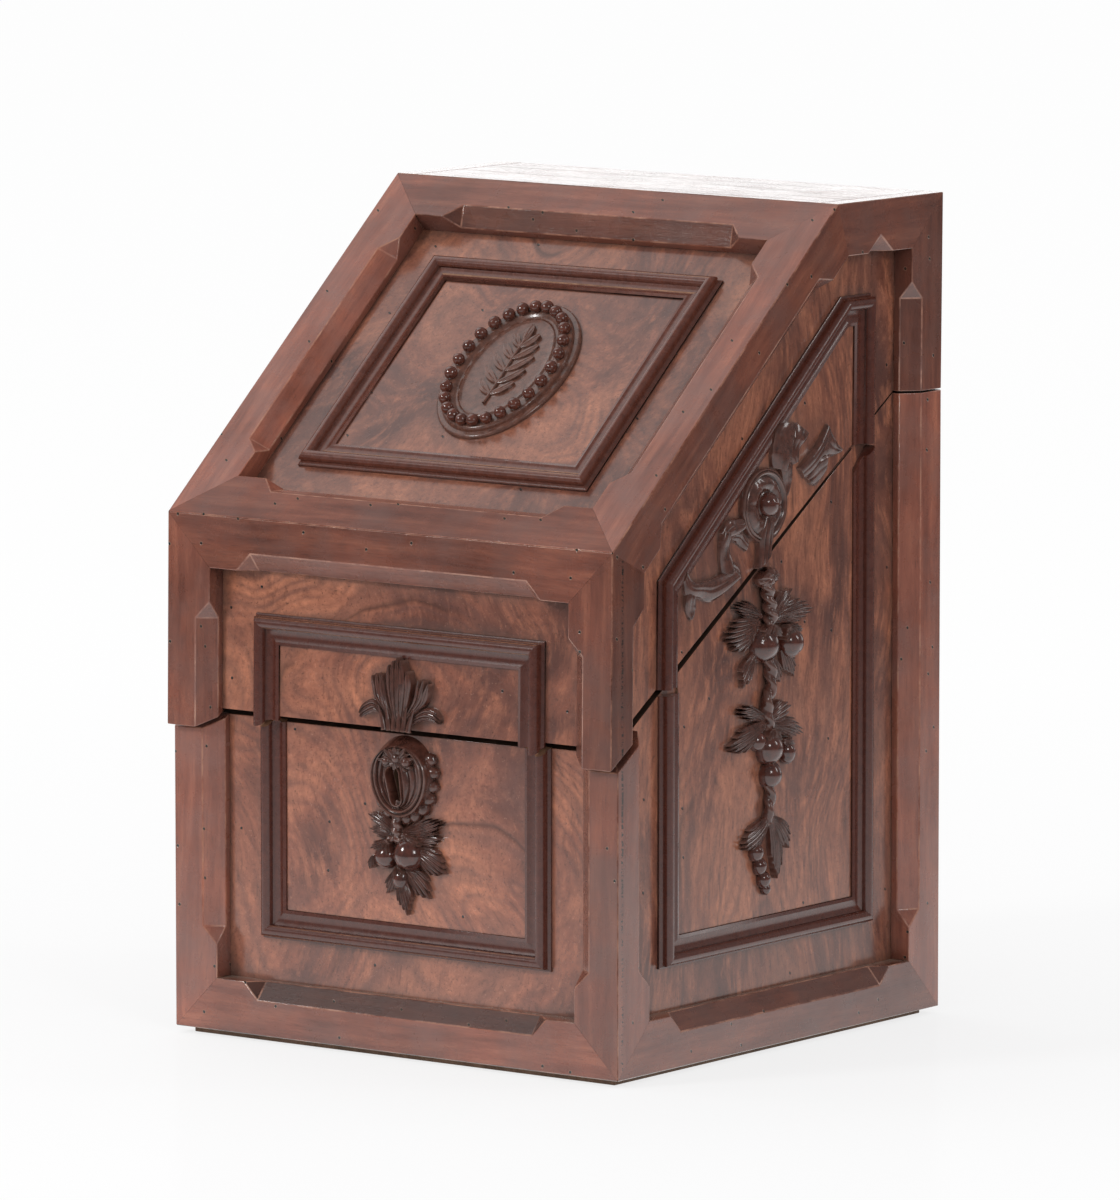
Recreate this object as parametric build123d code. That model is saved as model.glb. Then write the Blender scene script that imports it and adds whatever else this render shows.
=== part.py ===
from build123d import *
import math
import os

# Overall sizes of the box, in millimetres; heights are from the underside of the frames
box_width = 240.0
box_depth = 240.0
total_height = 361.4
front_height = 224.5
top_depth = 80.0
foot_reveal = 3.0
foot_inset = 6.0

# Parting line between base and lid, and how far the lid stands open at rest
part_front = 132.7
part_rear = 274.4
part_gap = 0.5
ajar_angle = 0.65
lid_overhang = 3.4

# Carcass boards
board_thickness = 9.0
back_thickness = 12.0
bottom_thickness = 9.0
panel_rise = 1.0

# Frame strips with their stopped chamfers
strip_thickness = 9.8
strip_width = 23.2
slope_strip_width = 24.5
chamfer_width = 7.8
chamfer_depth = 6.5
stop_gap = 14.8
stop_length = 7.5

# Raised mouldings round the inner panels
moulding_inset = 42.0
moulding_width = 13.2
moulding_relief = 0.3

# Hinges
hinge_length = 44.0
hinge_spacing = 124.0
leaf_thickness = 1.6
leaf_depth = 11.0
knuckle_radius = 2.6
knuckle_count = 3
knuckle_clearance = 0.4
pin_radius = 1.2
pin_clearance = 0.05

# Keyhole, escutcheon and lock
escutcheon_centre = 120.6
escutcheon_half_width = 15.0
escutcheon_half_height = 18.4
escutcheon_height = 6.8
escutcheon_base_share = 0.55
escutcheon_rim = 2.2
escutcheon_dish_depth = 1.0
scallop_reach = 2.7
scallop_count = 18
keyhole_radius = 3.2
keyhole_length = 17.0
keyhole_centre = 115.5
keyhole_offset = -2.0
keyhole_tilt = 11.0
lock_width = 44.0
lock_height = 36.0
lock_thickness = 16.0
lock_let_in = 5.5
lock_wall = 1.2
bolt_length = 17.0
bolt_height = 4.0
bolt_thickness = 2.6
bolt_throw = 5.0
bolt_drop = 6.5
bolt_lead = 1.0
guide_width = 3.0
guide_place = 6.0
eye_thickness = 2.0
eye_rim = 1.4
eye_play = 1.2
strike_width = 26.0
strike_depth = 12.0
strike_thickness = 1.6
lock_block_depth = 12.0
lock_block_height = 16.0
running_gap = 0.4

# Cutlery rack
slot_rows = 3
slots_per_row = 5
slot_width = 26.0
slot_depth = 16.0
rack_thickness = 8.0
rack_drop = 12.0
bearer_width = 8.0
bearer_height = 10.0

# Medallion on the slope
bead_radius = 2.6
bead_count = 26
bead_rise = 0.6
bead_ring_width = 25.1
bead_ring_height = 35.2
medallion_height = 4.0
medallion_border = 3.0
medallion_rim = 3.0
medallion_rim_height = 1.4
medallion_dish_border = 5.6
medallion_dish_depth = 1.8

# Places worked out from the sizes above
half_width = box_width / 2
half_depth = box_depth / 2
top_z = foot_reveal + total_height
shoulder_z = foot_reveal + front_height
rear_part_z = foot_reveal + part_rear
front_part_z = foot_reveal + part_front
lid_front_y = -half_depth - lid_overhang
top_front_y = half_depth - top_depth
knee_y = half_depth - strip_width
part_slope = (part_rear - part_front) / (knee_y + half_depth)
wall = strip_thickness + board_thickness
inner_half_width = half_width - wall
slope_run = top_front_y - lid_front_y
slope_rise = top_z - shoulder_z
slope_length = math.hypot(slope_run, slope_rise)
slope_angle = math.atan2(slope_rise, slope_run)
panel_level = panel_rise - strip_thickness
hinge_y = half_depth + knuckle_radius + knuckle_clearance
hinge_z = rear_part_z + part_gap / 2
far = 2 * total_height

front_in = -half_depth + strip_thickness
back_in = half_depth - back_thickness
rack_front = front_in + board_thickness
rack_back = back_in

front_plane = Plane(origin=(-half_width, -half_depth, foot_reveal), x_dir=(1, 0, 0), z_dir=(0, -1, 0))
side_plane = Plane(origin=(half_width, -half_depth, foot_reveal), x_dir=(0, 1, 0), z_dir=(1, 0, 0))
lid_front_plane = Plane(origin=(-half_width, lid_front_y, foot_reveal), x_dir=(1, 0, 0), z_dir=(0, -1, 0))
lid_side_plane = Plane(origin=(half_width, lid_front_y, foot_reveal), x_dir=(0, 1, 0), z_dir=(1, 0, 0))
slope_plane = Plane(
    origin=(-half_width, lid_front_y, shoulder_z),
    x_dir=(1, 0, 0),
    z_dir=(0, -math.sin(slope_angle), math.cos(slope_angle)),
)
lid_pose = Pos(0, hinge_y, hinge_z) * Rot(X=-ajar_angle) * Pos(0, -hinge_y, -hinge_z)


def part_height(y):
    """Height of the parting line at a distance from front to back."""
    return min(front_part_z + part_slope * (y + half_depth), rear_part_z)


def inset_corners(corners, insets):
    """Corners of an outline whose edges lie inside a counter-clockwise outline, one inset an edge."""
    lines = []
    for index, (ax, ay) in enumerate(corners):
        bx, by = corners[(index + 1) % len(corners)]
        length = math.hypot(bx - ax, by - ay)
        ex, ey = (bx - ax) / length, (by - ay) / length
        lines.append((ax - ey * insets[index], ay + ex * insets[index], ex, ey))
    inner = []
    for index, (qx, qy, ex, ey) in enumerate(lines):
        px, py, dx, dy = lines[index - 1]
        along = ((qx - px) * ey - (qy - py) * ex) / (dx * ey - dy * ex)
        inner.append((px + dx * along, py + dy * along))
    return inner


def prism(corners, low, high):
    """Upright prism on an outline in the XY plane."""
    outline = Pos(0, 0, low) * make_face(Polyline(*corners, close=True))
    return extrude(outline, high - low, dir=(0, 0, 1))


def profile_board(corners, reach):
    """Board whose (y, z) section runs across the box, to the given reach each side of the middle."""
    section = Plane.YZ * make_face(Polyline(*corners, close=True))
    return extrude(section, reach, both=True)


def layer(corners, bevels, thickness):
    """Slab under a face outline, with each edge bevelled inwards by its own amount at the back."""
    back = inset_corners(corners, bevels)
    outer = [(x, y, 0) for x, y in corners]
    inner = [(x, y, -thickness) for x, y in back]
    rims = []
    for index in range(len(corners)):
        after = (index + 1) % len(corners)
        rims.append([outer[index], inner[index], inner[after], outer[after]])
    faces = [Face(Wire.make_polygon(points)) for points in [outer, inner[::-1], *rims]]
    return Solid(Shell(faces))


def chamfer_tool(start, end, stopped_start, stopped_end, stop):
    """Cutter for a stopped chamfer along the inner arris of a strip."""
    length = math.dist(start, end)
    ex, ey = (end[0] - start[0]) / length, (end[1] - start[1]) / length
    clear = 2.0
    lead = chamfer_width * (1 + clear / chamfer_depth)
    section = make_face(
        Polyline((0, chamfer_depth), (-clear, chamfer_depth), (-clear, -clear), (lead, -clear), close=True)
    )
    first = 0 if stopped_start else -chamfer_width
    last = length if stopped_end else length + chamfer_width
    tool = extrude(Pos(0, 0, first) * section, last - first, dir=(0, 0, 1))
    tilt = (-stop / chamfer_width, -stop / chamfer_depth)
    if stopped_start:
        tool = split(tool, Plane(origin=(0, 0, stop_gap), z_dir=(*tilt, 1)), keep=Keep.TOP)
    if stopped_end:
        tool = split(tool, Plane(origin=(0, 0, length - stop_gap), z_dir=(*tilt, -1)), keep=Keep.TOP)
    seat = Plane(origin=(start[0], start[1], 0), x_dir=(ey, -ex, 0), z_dir=(ex, ey, 0))
    return seat.location * tool


def frame_strip(corners, widths, bevels, edge, stopped_start=True, stopped_end=True, meet=False):
    """Mitred strip along one edge of a face, with its stopped chamfer."""
    after = (edge + 1) % len(corners)
    inner = inset_corners(corners, widths)
    outline = [corners[edge], corners[after], inner[after], inner[edge]]
    strip = layer(corners, bevels, strip_thickness) & prism(outline, -strip_thickness, 0)
    stop = math.dist(inner[edge], inner[after]) / 2 - stop_gap if meet else stop_length
    return strip - chamfer_tool(inner[edge], inner[after], stopped_start, stopped_end, stop)


def moulding_section():
    """Section of the moulding: quirk and cove, half-round, then a shallow cove with a bead."""
    foot = 0.9
    neck = 3.1
    crown_start = 1.1
    crown_end = 6.3
    crown_radius = (crown_end - crown_start) / 2
    shelf = 2.2
    bead = 1.8
    bead_start = moulding_width - 1.4
    edge = Line((0, 0), (0, foot))
    edge += ThreePointArc((0, foot), (1.1, 1.6), (1.5, neck - 0.3))
    edge += Line((1.5, neck - 0.3), (crown_start, neck))
    edge += ThreePointArc(
        (crown_start, neck), (crown_start + crown_radius, neck + crown_radius), (crown_end, neck)
    )
    edge += Line((crown_end, neck), (crown_end, shelf))
    hollow = ((crown_end + bead_start) / 2, shelf - 0.7)
    edge += ThreePointArc((crown_end, shelf), hollow, (bead_start, shelf))
    edge += Line((bead_start, shelf), (moulding_width, bead))
    edge += Line((moulding_width, bead), (moulding_width, 0))
    edge += Line((moulding_width, 0), (0, 0))
    return make_face(edge)


def moulding_outline(corners, extra, width=0.0):
    """Line of the moulding on a face; the extra widens the last margin for the lid's overhang."""
    insets = [moulding_inset + width] * len(corners)
    insets[-1] += extra
    return inset_corners(corners, insets)


def moulding_run(corners, edge, extra=0.0):
    """One mitred length of moulding along an edge of a face outline, standing on the field."""
    outer = moulding_outline(corners, extra)
    inner = moulding_outline(corners, extra, moulding_width)
    after = (edge + 1) % len(corners)
    ax, ay = outer[edge]
    bx, by = outer[after]
    length = math.dist(outer[edge], outer[after])
    ex, ey = (bx - ax) / length, (by - ay) / length
    seat = Plane(origin=(ax, ay, -strip_thickness), x_dir=(-ey, ex, 0), z_dir=(ex, ey, 0))
    bar = seat.location * extrude(moulding_section(), length, dir=(0, 0, 1))
    quad = [outer[edge], outer[after], inner[after], inner[edge]]
    return bar & prism(quad, -strip_thickness, strip_thickness)


def raised_panel(corners, extra=0.0):
    """Inner panel inside the moulding, standing a little proud of the field."""
    inner = moulding_outline(corners, extra, moulding_width)
    return prism(inner, -strip_thickness, panel_level)


def side_profile_region(points, upward):
    """Everything above or below a line in the (y, z) side profile, across the whole box."""
    limit = far if upward else -far
    region = [*points, (points[-1][0], limit), (points[0][0], limit)]
    return profile_board(region, far)


def slant_region(offset, upward):
    """Region above or below the slanted parting line, which is level over the rear stiles."""
    low_y = -half_depth - 40
    low = front_part_z + part_slope * (low_y + half_depth) + offset
    points = [(low_y, low), (knee_y, rear_part_z + offset), (far, rear_part_z + offset)]
    return side_profile_region(points, upward)


def stepped_region(offset, upward):
    """Region above or below the square cuts across the two upright moulding runs of a side."""
    front_cut = part_height(moulding_inset - half_depth) + offset
    rear_cut = part_height(half_depth - moulding_inset - moulding_width) + offset
    points = [(-far, front_cut), (0, front_cut), (0, rear_cut), (far, rear_cut)]
    return side_profile_region(points, upward)


below_slant = slant_region(0, False)
above_slant = slant_region(part_gap, True)
below_step = stepped_region(0, False)
above_step = stepped_region(part_gap, True)


def save(name, shape):
    """Write one named piece."""
    export_step(shape, f"parts/{name}.step")


def mirrored(shape):
    """The same piece on the left side of the box."""
    return mirror(shape, about=Plane.YZ)


def as_group(pieces):
    """Several separate solids kept together under one name."""
    return Compound(children=[solid for piece in pieces for solid in piece.solids()])


# Outlines of the faces: base front and side run past the parting line and are cut back to it
def base_outline(width):
    tall = part_rear + strip_width
    return [(0, 0), (width, 0), (width, tall), (0, tall)]


lid_side_depth = half_depth - lid_front_y
lid_side_outline = [
    (0, 0),
    (lid_side_depth, 0),
    (lid_side_depth, total_height),
    (lid_side_depth - top_depth, total_height),
    (0, front_height),
]
lid_front_outline = [(0, 0), (box_width, 0), (box_width, front_height), (0, front_height)]
slope_outline = [(0, 0), (box_width, 0), (box_width, slope_length), (0, slope_length)]
shoulder_bevel = strip_thickness * math.tan((math.pi / 2 - slope_angle) / 2)
brow_bevel = strip_thickness * math.tan(slope_angle / 2)
front_bevels = [0, strip_thickness, shoulder_bevel, strip_thickness]
slope_bevels = [shoulder_bevel, strip_thickness, brow_bevel, strip_thickness]
front_skin = lid_front_plane.location * layer(lid_front_outline, front_bevels, strip_thickness)
slope_skin = slope_plane.location * layer(slope_outline, slope_bevels, strip_thickness)


# Side profile lines for the boards, offset inwards from the lid's outline
def lid_profile(depth):
    """Front, slope and top of the lid's profile, moved inwards by a depth, as two corners."""
    below_shoulder = depth * math.tan((math.pi / 2 - slope_angle) / 2)
    below_brow = depth * math.tan(slope_angle / 2)
    shoulder = (lid_front_y + depth, shoulder_z - below_shoulder)
    brow = (top_front_y + below_brow, top_z - depth)
    return shoulder, brow


def side_board(section):
    """Right-hand board with the given (y, z) outline."""
    board = extrude(Plane.YZ * make_face(Polyline(*section, close=True)), board_thickness, dir=(1, 0, 0))
    return Pos(inner_half_width, 0, 0) * board


# Base carcass
def build_base_boards():
    low = foot_reveal
    side = side_board([(front_in, low), (back_in, low), (back_in, far), (front_in, far)])
    side += side_plane.location * raised_panel(base_outline(box_depth))
    side &= below_slant
    save("base_right_panel", side)
    save("base_left_panel", mirrored(side))

    front = profile_board(
        [(front_in, low), (rack_front, low), (rack_front, far), (front_in, far)],
        inner_half_width,
    )
    front += front_plane.location * raised_panel(base_outline(box_width))
    front &= below_slant
    front -= keyhole_tool(0)
    front -= lock_box(0) & below_slant
    save("base_front_panel", front)

    back = profile_board(
        [(back_in, low), (half_depth, low), (half_depth, rear_part_z), (back_in, rear_part_z)],
        half_width - strip_thickness,
    )
    for place in hinge_places():
        back -= place * leaf_plate(rear_part_z - leaf_thickness)
    save("base_back_panel", back)

    plate = Box(box_width - 2 * foot_inset, box_depth - 2 * foot_inset, foot_reveal)
    plate = Pos(0, 0, foot_reveal / 2) * plate
    inner_depth = back_in - front_in - board_thickness
    core = Box(2 * inner_half_width, inner_depth, bottom_thickness)
    core = Pos(0, (back_in + rack_front) / 2, foot_reveal + bottom_thickness / 2) * core
    save("bottom_board", plate + core)


def keyhole_tool(spare):
    """Tear-shaped keyhole, run from outside the escutcheon into the hollow of the lock."""
    radius = keyhole_radius + spare
    toe = radius * 0.75
    half_run = keyhole_length / 2 - keyhole_radius
    hole = Pos(0, half_run) * Circle(radius)
    hole += Pos(0, -half_run) * Circle(toe)
    flank = Polyline(
        (-radius, half_run), (radius, half_run), (toe, -half_run), (-toe, -half_run), close=True
    )
    hole += make_face(flank)
    tool = extrude(Rot(Z=keyhole_tilt) * hole, lock_mid_y + half_depth, dir=(0, 0, -1))
    place = (keyhole_offset, -half_depth, foot_reveal + keyhole_centre)
    seat = Plane(origin=place, x_dir=(1, 0, 0), z_dir=(0, -1, 0))
    return seat.location * tool


# Lock: it is let into the back of the front board and its top follows the parting line
lock_front_y = -half_depth + wall - lock_let_in
lock_mid_y = lock_front_y + lock_thickness / 2
lock_top_z = part_height(lock_front_y + lock_thickness)
bolt_z = part_height(lock_mid_y) - bolt_drop


def lock_box(shrink):
    size = (lock_width - 2 * shrink, lock_thickness - 2 * shrink, lock_height - 2 * shrink)
    return Pos(0, lock_mid_y, lock_top_z - lock_height / 2) * Box(*size)


def build_lock():
    case = lock_box(0) & slant_region(-running_gap, False)
    hollow = lock_box(lock_wall) & slant_region(-running_gap - lock_wall, False)
    case -= hollow
    case -= keyhole_tool(0)
    mouth = Box(eye_thickness + 4 * running_gap, lock_thickness - 2 * lock_wall, lock_height)
    case -= Pos(0, lock_mid_y, bolt_z + lock_height / 2) * mouth
    for x in (-lock_width / 2 + lock_wall + guide_width / 2, -guide_place):
        guide = Box(guide_width, lock_thickness - 2 * lock_wall, 2 * bolt_height)
        guide = Pos(x, lock_mid_y, bolt_z) * guide
        slot = Box(far, bolt_thickness + 2 * running_gap, bolt_height + 2 * running_gap)
        case += (guide & hollow) - Pos(0, lock_mid_y, bolt_z) * slot
    save("lock_case", case)

    bolt_end = -eye_thickness / 2 - bolt_lead
    bolt = Box(bolt_length, bolt_thickness, bolt_height)
    bolt = Pos(bolt_end - bolt_length / 2, lock_mid_y, bolt_z) * bolt
    save("lock_bolt", bolt)


def strike_shape():
    """Strike plate under the lid's lock block, with the eye that the bolt passes through."""
    half_eye = bolt_thickness / 2 + eye_play + eye_rim
    rise = strike_thickness / 2 + part_gap
    tilt = math.atan(part_slope)
    swing = math.radians(ajar_angle)
    rest_y = lock_mid_y + (hinge_z - bolt_z) * swing / 2
    rest_z = bolt_z - (hinge_y - lock_mid_y) * swing / 2
    lift = (hinge_y - lock_mid_y) * swing
    eye_low = bolt_height / 2 + lift / 2 + eye_play + eye_rim
    eye_high = bolt_drop + lift
    seat = Pos(0, rest_y, rest_z) * Rot(X=math.degrees(tilt))
    eye = Pos(0, 0, (eye_high - eye_low) / 2) * Box(eye_thickness, 2 * half_eye, eye_high + eye_low)
    window = Box(far, 2 * (half_eye - eye_rim), 2 * (eye_low - eye_rim))
    plate_y = lock_mid_y - bolt_drop * math.sin(tilt) * math.cos(tilt)
    plate = Pos(0, plate_y, front_part_z) * Box(strike_width, strike_depth, far)
    plate &= slant_region(part_gap, True) & slant_region(part_gap + strike_thickness, False)
    eye = seat * (eye - window) & slant_region(rise, False)
    return plate + eye


# Hinges
def hinge_places():
    return [Pos(x, 0, 0) for x in (-hinge_spacing / 2, hinge_spacing / 2)]


def leaf_plate(bottom):
    centre = (0, half_depth - leaf_depth / 2, bottom + leaf_thickness / 2)
    return Pos(*centre) * Box(hinge_length, leaf_depth, leaf_thickness)


def hinge_leaf(bottom, own_knuckles):
    """One leaf with its knuckles; the bridges reach past the back face only at its own knuckles."""
    pitch = hinge_length / knuckle_count
    leaf = leaf_plate(bottom)
    for index in own_knuckles:
        x = (index + 0.5) * pitch - hinge_length / 2
        length = pitch - knuckle_clearance
        barrel = Pos(x, hinge_y, hinge_z) * Rot(Y=90) * Cylinder(knuckle_radius, length)
        bridge = Pos(x, (half_depth + hinge_y) / 2, bottom + leaf_thickness / 2)
        leaf += barrel + bridge * Box(length, hinge_y - half_depth, leaf_thickness)
    bore = Pos(0, hinge_y, hinge_z) * Rot(Y=90) * Cylinder(pin_radius + pin_clearance, 2 * hinge_length)
    return leaf - bore


def build_hinges():
    base_leaf = hinge_leaf(rear_part_z - leaf_thickness, range(0, knuckle_count, 2))
    lid_leaf = hinge_leaf(rear_part_z + part_gap, range(1, knuckle_count, 2))
    pin = Pos(0, hinge_y, hinge_z) * Rot(Y=90) * Cylinder(pin_radius, hinge_length)
    save("hinge_base_leaves", as_group([place * base_leaf for place in hinge_places()]))
    save("hinge_lid_leaves", as_group([lid_pose * place * lid_leaf for place in hinge_places()]))
    save("hinge_pins", as_group([place * pin for place in hinge_places()]))


# Frame strips and mouldings of the base
def build_base_trim():
    widths = [strip_width] * 4
    front = base_outline(box_width)
    side = base_outline(box_depth)
    bevels = [0, strip_thickness, 0, strip_thickness]
    side_bevels = [0, 0, 0, strip_thickness]
    front_names = {"rail": (0, True, True), "right_stile": (1, True, False), "left_stile": (3, False, True)}
    for name, (edge, start, end) in front_names.items():
        strip = front_plane.location * frame_strip(front, widths, bevels, edge, start, end)
        save(f"base_front_{name}", strip & below_slant)
    side_names = {"rail": (0, True, True), "rear_stile": (1, True, False), "front_stile": (3, False, True)}
    for name, (edge, start, end) in side_names.items():
        strip = side_plane.location * frame_strip(side, widths, side_bevels, edge, start, end)
        strip &= below_slant
        save(f"base_right_{name}", strip)
        save(f"base_left_{name}", mirrored(strip))
    runs = [front_plane.location * moulding_run(front, edge) & below_slant for edge in (0, 1, 3)]
    save("base_front_moulding", as_group(runs))
    runs = [side_plane.location * moulding_run(side, edge) & below_step for edge in (0, 1, 3)]
    save("base_right_moulding", as_group(runs))
    save("base_left_moulding", as_group([mirrored(run) for run in runs]))


# Lid carcass
def build_lid_boards():
    shoulder_1, brow_1 = lid_profile(strip_thickness)
    shoulder_2, _ = lid_profile(wall)
    under_top = top_z - strip_thickness
    side = side_board([(shoulder_1[0], 0), (back_in, 0), (back_in, under_top), brow_1, shoulder_1])
    side += lid_side_plane.location * raised_panel(lid_side_outline, lid_overhang)
    side &= above_slant
    save("lid_right_panel", lid_pose * side)
    save("lid_left_panel", lid_pose * mirrored(side))

    front = profile_board([(shoulder_1[0], 0), (shoulder_2[0], 0), shoulder_2, shoulder_1], inner_half_width)
    front += lid_front_plane.location * raised_panel(lid_front_outline)
    block_z = part_height(shoulder_2[0]) + part_gap
    block = Box(lock_width, lock_block_depth, 2 * lock_block_height)
    front += Pos(0, shoulder_2[0] + lock_block_depth / 2, block_z) * block
    front &= above_slant
    strike = strike_shape()
    save("lid_front_panel", lid_pose * (front - strike))
    save("strike_plate", lid_pose * strike)

    slope_head = (shoulder_2[0] + (under_top - shoulder_2[1]) / math.tan(slope_angle), under_top)
    slope = profile_board([shoulder_1, shoulder_2, slope_head, brow_1], inner_half_width)
    slope += slope_plane.location * raised_panel(slope_outline)
    save("lid_slope_panel", lid_pose * slope)

    top = profile_board(
        [(top_front_y, top_z), brow_1, (half_depth, under_top), (half_depth, top_z)],
        half_width - strip_thickness,
    )
    save("lid_top_board", lid_pose * top)

    low = rear_part_z + part_gap
    back = profile_board(
        [(back_in, low), (half_depth, low), (half_depth, under_top), (back_in, under_top)],
        half_width - strip_thickness,
    )
    for place in hinge_places():
        back -= place * leaf_plate(low)
    save("lid_back_panel", lid_pose * back)


def build_lid_trim():
    front_names = {"right_stile": (1, False, True), "rail": (2, True, True), "left_stile": (3, True, False)}
    for name, (edge, start, end) in front_names.items():
        strip = frame_strip(lid_front_outline, [strip_width] * 4, front_bevels, edge, start, end)
        save(f"lid_front_{name}", lid_pose * (lid_front_plane.location * strip & above_slant))

    slope_widths = [slope_strip_width] * 4
    for edge, name in enumerate(("bottom_rail", "right_stile", "top_rail", "left_stile")):
        strip = frame_strip(slope_outline, slope_widths, slope_bevels, edge)
        save(f"slope_{name}", lid_pose * (slope_plane.location * strip))

    side_names = {
        "rear_stile": (1, False, True, False),
        "top_rail": (2, True, True, True),
        "slant_rail": (3, True, True, False),
        "front_stile": (4, True, False, False),
    }
    for name, (edge, start, end, meet) in side_names.items():
        strip = frame_strip(lid_side_outline, [strip_width] * 5, [0] * 5, edge, start, end, meet)
        strip = lid_side_plane.location * strip & above_slant
        strip = strip - front_skin - slope_skin
        save(f"lid_right_{name}", lid_pose * strip)
        save(f"lid_left_{name}", lid_pose * mirrored(strip))

    runs = []
    for edge in (1, 2, 3):
        run = lid_front_plane.location * moulding_run(lid_front_outline, edge) & above_slant
        runs.append(lid_pose * run)
    save("lid_front_moulding", as_group(runs))
    runs = [lid_pose * slope_plane.location * moulding_run(slope_outline, edge) for edge in range(4)]
    save("slope_moulding", as_group(runs))
    overhang = prism(lid_side_outline, -strip_thickness, moulding_relief - strip_thickness)
    overhang = lid_side_plane.location * overhang & slant_region(part_gap, False)
    runs = []
    for edge in (1, 2, 3, 4):
        run = lid_side_plane.location * moulding_run(lid_side_outline, edge, lid_overhang)
        runs.append(lid_pose * ((run & above_step) - overhang))
    save("lid_right_moulding", as_group(runs))
    save("lid_left_moulding", as_group([mirrored(run) for run in runs]))


# Cutlery rack: rails across the box and spacers between them leave the slots
rail_depth = (rack_back - rack_front - slot_rows * slot_depth) / (slot_rows + 1)
spacer_width = (2 * inner_half_width - slots_per_row * slot_width) / (slots_per_row + 1)


def rack_bar(front_y, back_y, left_x, right_x, drop, thickness):
    """Bar parallel to the parting line, with upright edges."""
    front_z = front_part_z + part_slope * (front_y + half_depth) - drop
    back_z = front_part_z + part_slope * (back_y + half_depth) - drop
    top = [(front_y, front_z), (back_y, back_z)]
    bottom = [(back_y, back_z - thickness), (front_y, front_z - thickness)]
    bar = Plane.YZ * make_face(Polyline(*top, *bottom, close=True))
    return Pos(left_x, 0, 0) * extrude(bar, right_x - left_x, dir=(1, 0, 0))


def build_rack():
    rails = []
    spacers = []
    for row in range(slot_rows + 1):
        front_y = rack_front + row * (rail_depth + slot_depth)
        reach = inner_half_width
        rails.append(rack_bar(front_y, front_y + rail_depth, -reach, reach, rack_drop, rack_thickness))
        if row == slot_rows:
            break
        for column in range(slots_per_row + 1):
            left = column * (spacer_width + slot_width) - inner_half_width
            start = front_y + rail_depth
            spacers.append(
                rack_bar(start, start + slot_depth, left, left + spacer_width, rack_drop, rack_thickness)
            )
    bearer_drop = rack_drop + rack_thickness
    bearer = rack_bar(
        rack_front, rack_back, inner_half_width - bearer_width, inner_half_width, bearer_drop, bearer_height
    )
    cut = lock_box(-running_gap)
    save("rack_rails", as_group([rail - cut for rail in rails]))
    save("rack_spacers", as_group(spacers))
    save("rack_bearers", as_group([bearer, mirrored(bearer)]))


# Carvings, each in the plane of its face with z outwards
lobe_outline = [(0.0, 0.0), (0.3, 0.5), (0.66, 0.4), (1.0, 0.0), (0.66, -0.4), (0.3, -0.5)]
lobe_crown = 0.35
dome_rings = [(0.0, 1.0), (0.64, 0.77), (0.95, 0.31)]
fruit_sides = 10
bead_sides = 8


def lobe(start, tip, width, height, low=panel_level):
    """Leaf lobe: a pointed outline that narrows to a blunt crown."""
    length = math.dist(start, tip)
    ahead = ((tip[0] - start[0]) / length, (tip[1] - start[1]) / length)

    def section(shrink, level):
        points = []
        for along, across in lobe_outline:
            run = (0.5 + (along - 0.5) * shrink) * length
            reach = across * width * shrink
            points.append(
                (start[0] + ahead[0] * run - ahead[1] * reach, start[1] + ahead[1] * run + ahead[0] * reach)
            )
        return Pos(0, 0, level) * make_face(Polyline(*points, close=True))

    return loft([section(1.0, low), section(lobe_crown, low + height)], ruled=True)


def dome(x, y, radius, low, centre, sides):
    """Ball with flat facets, cut off level below its centre."""
    drop = (centre - low) / radius
    rings = [(level, share) for level, share in dome_rings if level > -drop]
    rings.insert(0, (-drop, math.sqrt(1 - drop * drop)))
    sections = [
        Pos(x, y, centre + radius * level) * RegularPolygon(radius * share, sides) for level, share in rings
    ]
    return loft(sections, ruled=True)


def fruit(x, y, radius, lift=-0.1):
    """Round fruit on the panel; its centre stands a share of its radius above the panel's face."""
    return dome(x, y, radius, panel_level, panel_level + radius * lift, fruit_sides)


def carved_leaf(root, tip, width, height):
    """Three-lobed leaf with a long middle lobe and two short ones."""
    along = (tip[0] - root[0], tip[1] - root[1])
    across = (-along[1], along[0])
    pieces = lobe(root, tip, width * 0.55, height)
    for side in (1, -1):
        spread = side * width / math.hypot(*across) * 0.5
        end = (root[0] + along[0] * 0.66 + across[0] * spread, root[1] + along[1] * 0.66 + across[1] * spread)
        pieces += lobe(root, end, width * 0.42, height * 0.8)
    return pieces


def joined(pieces):
    whole = pieces[0]
    for piece in pieces[1:]:
        whole += piece
    return whole


front_middle = box_width / 2
carving_middle = 115.3


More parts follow.
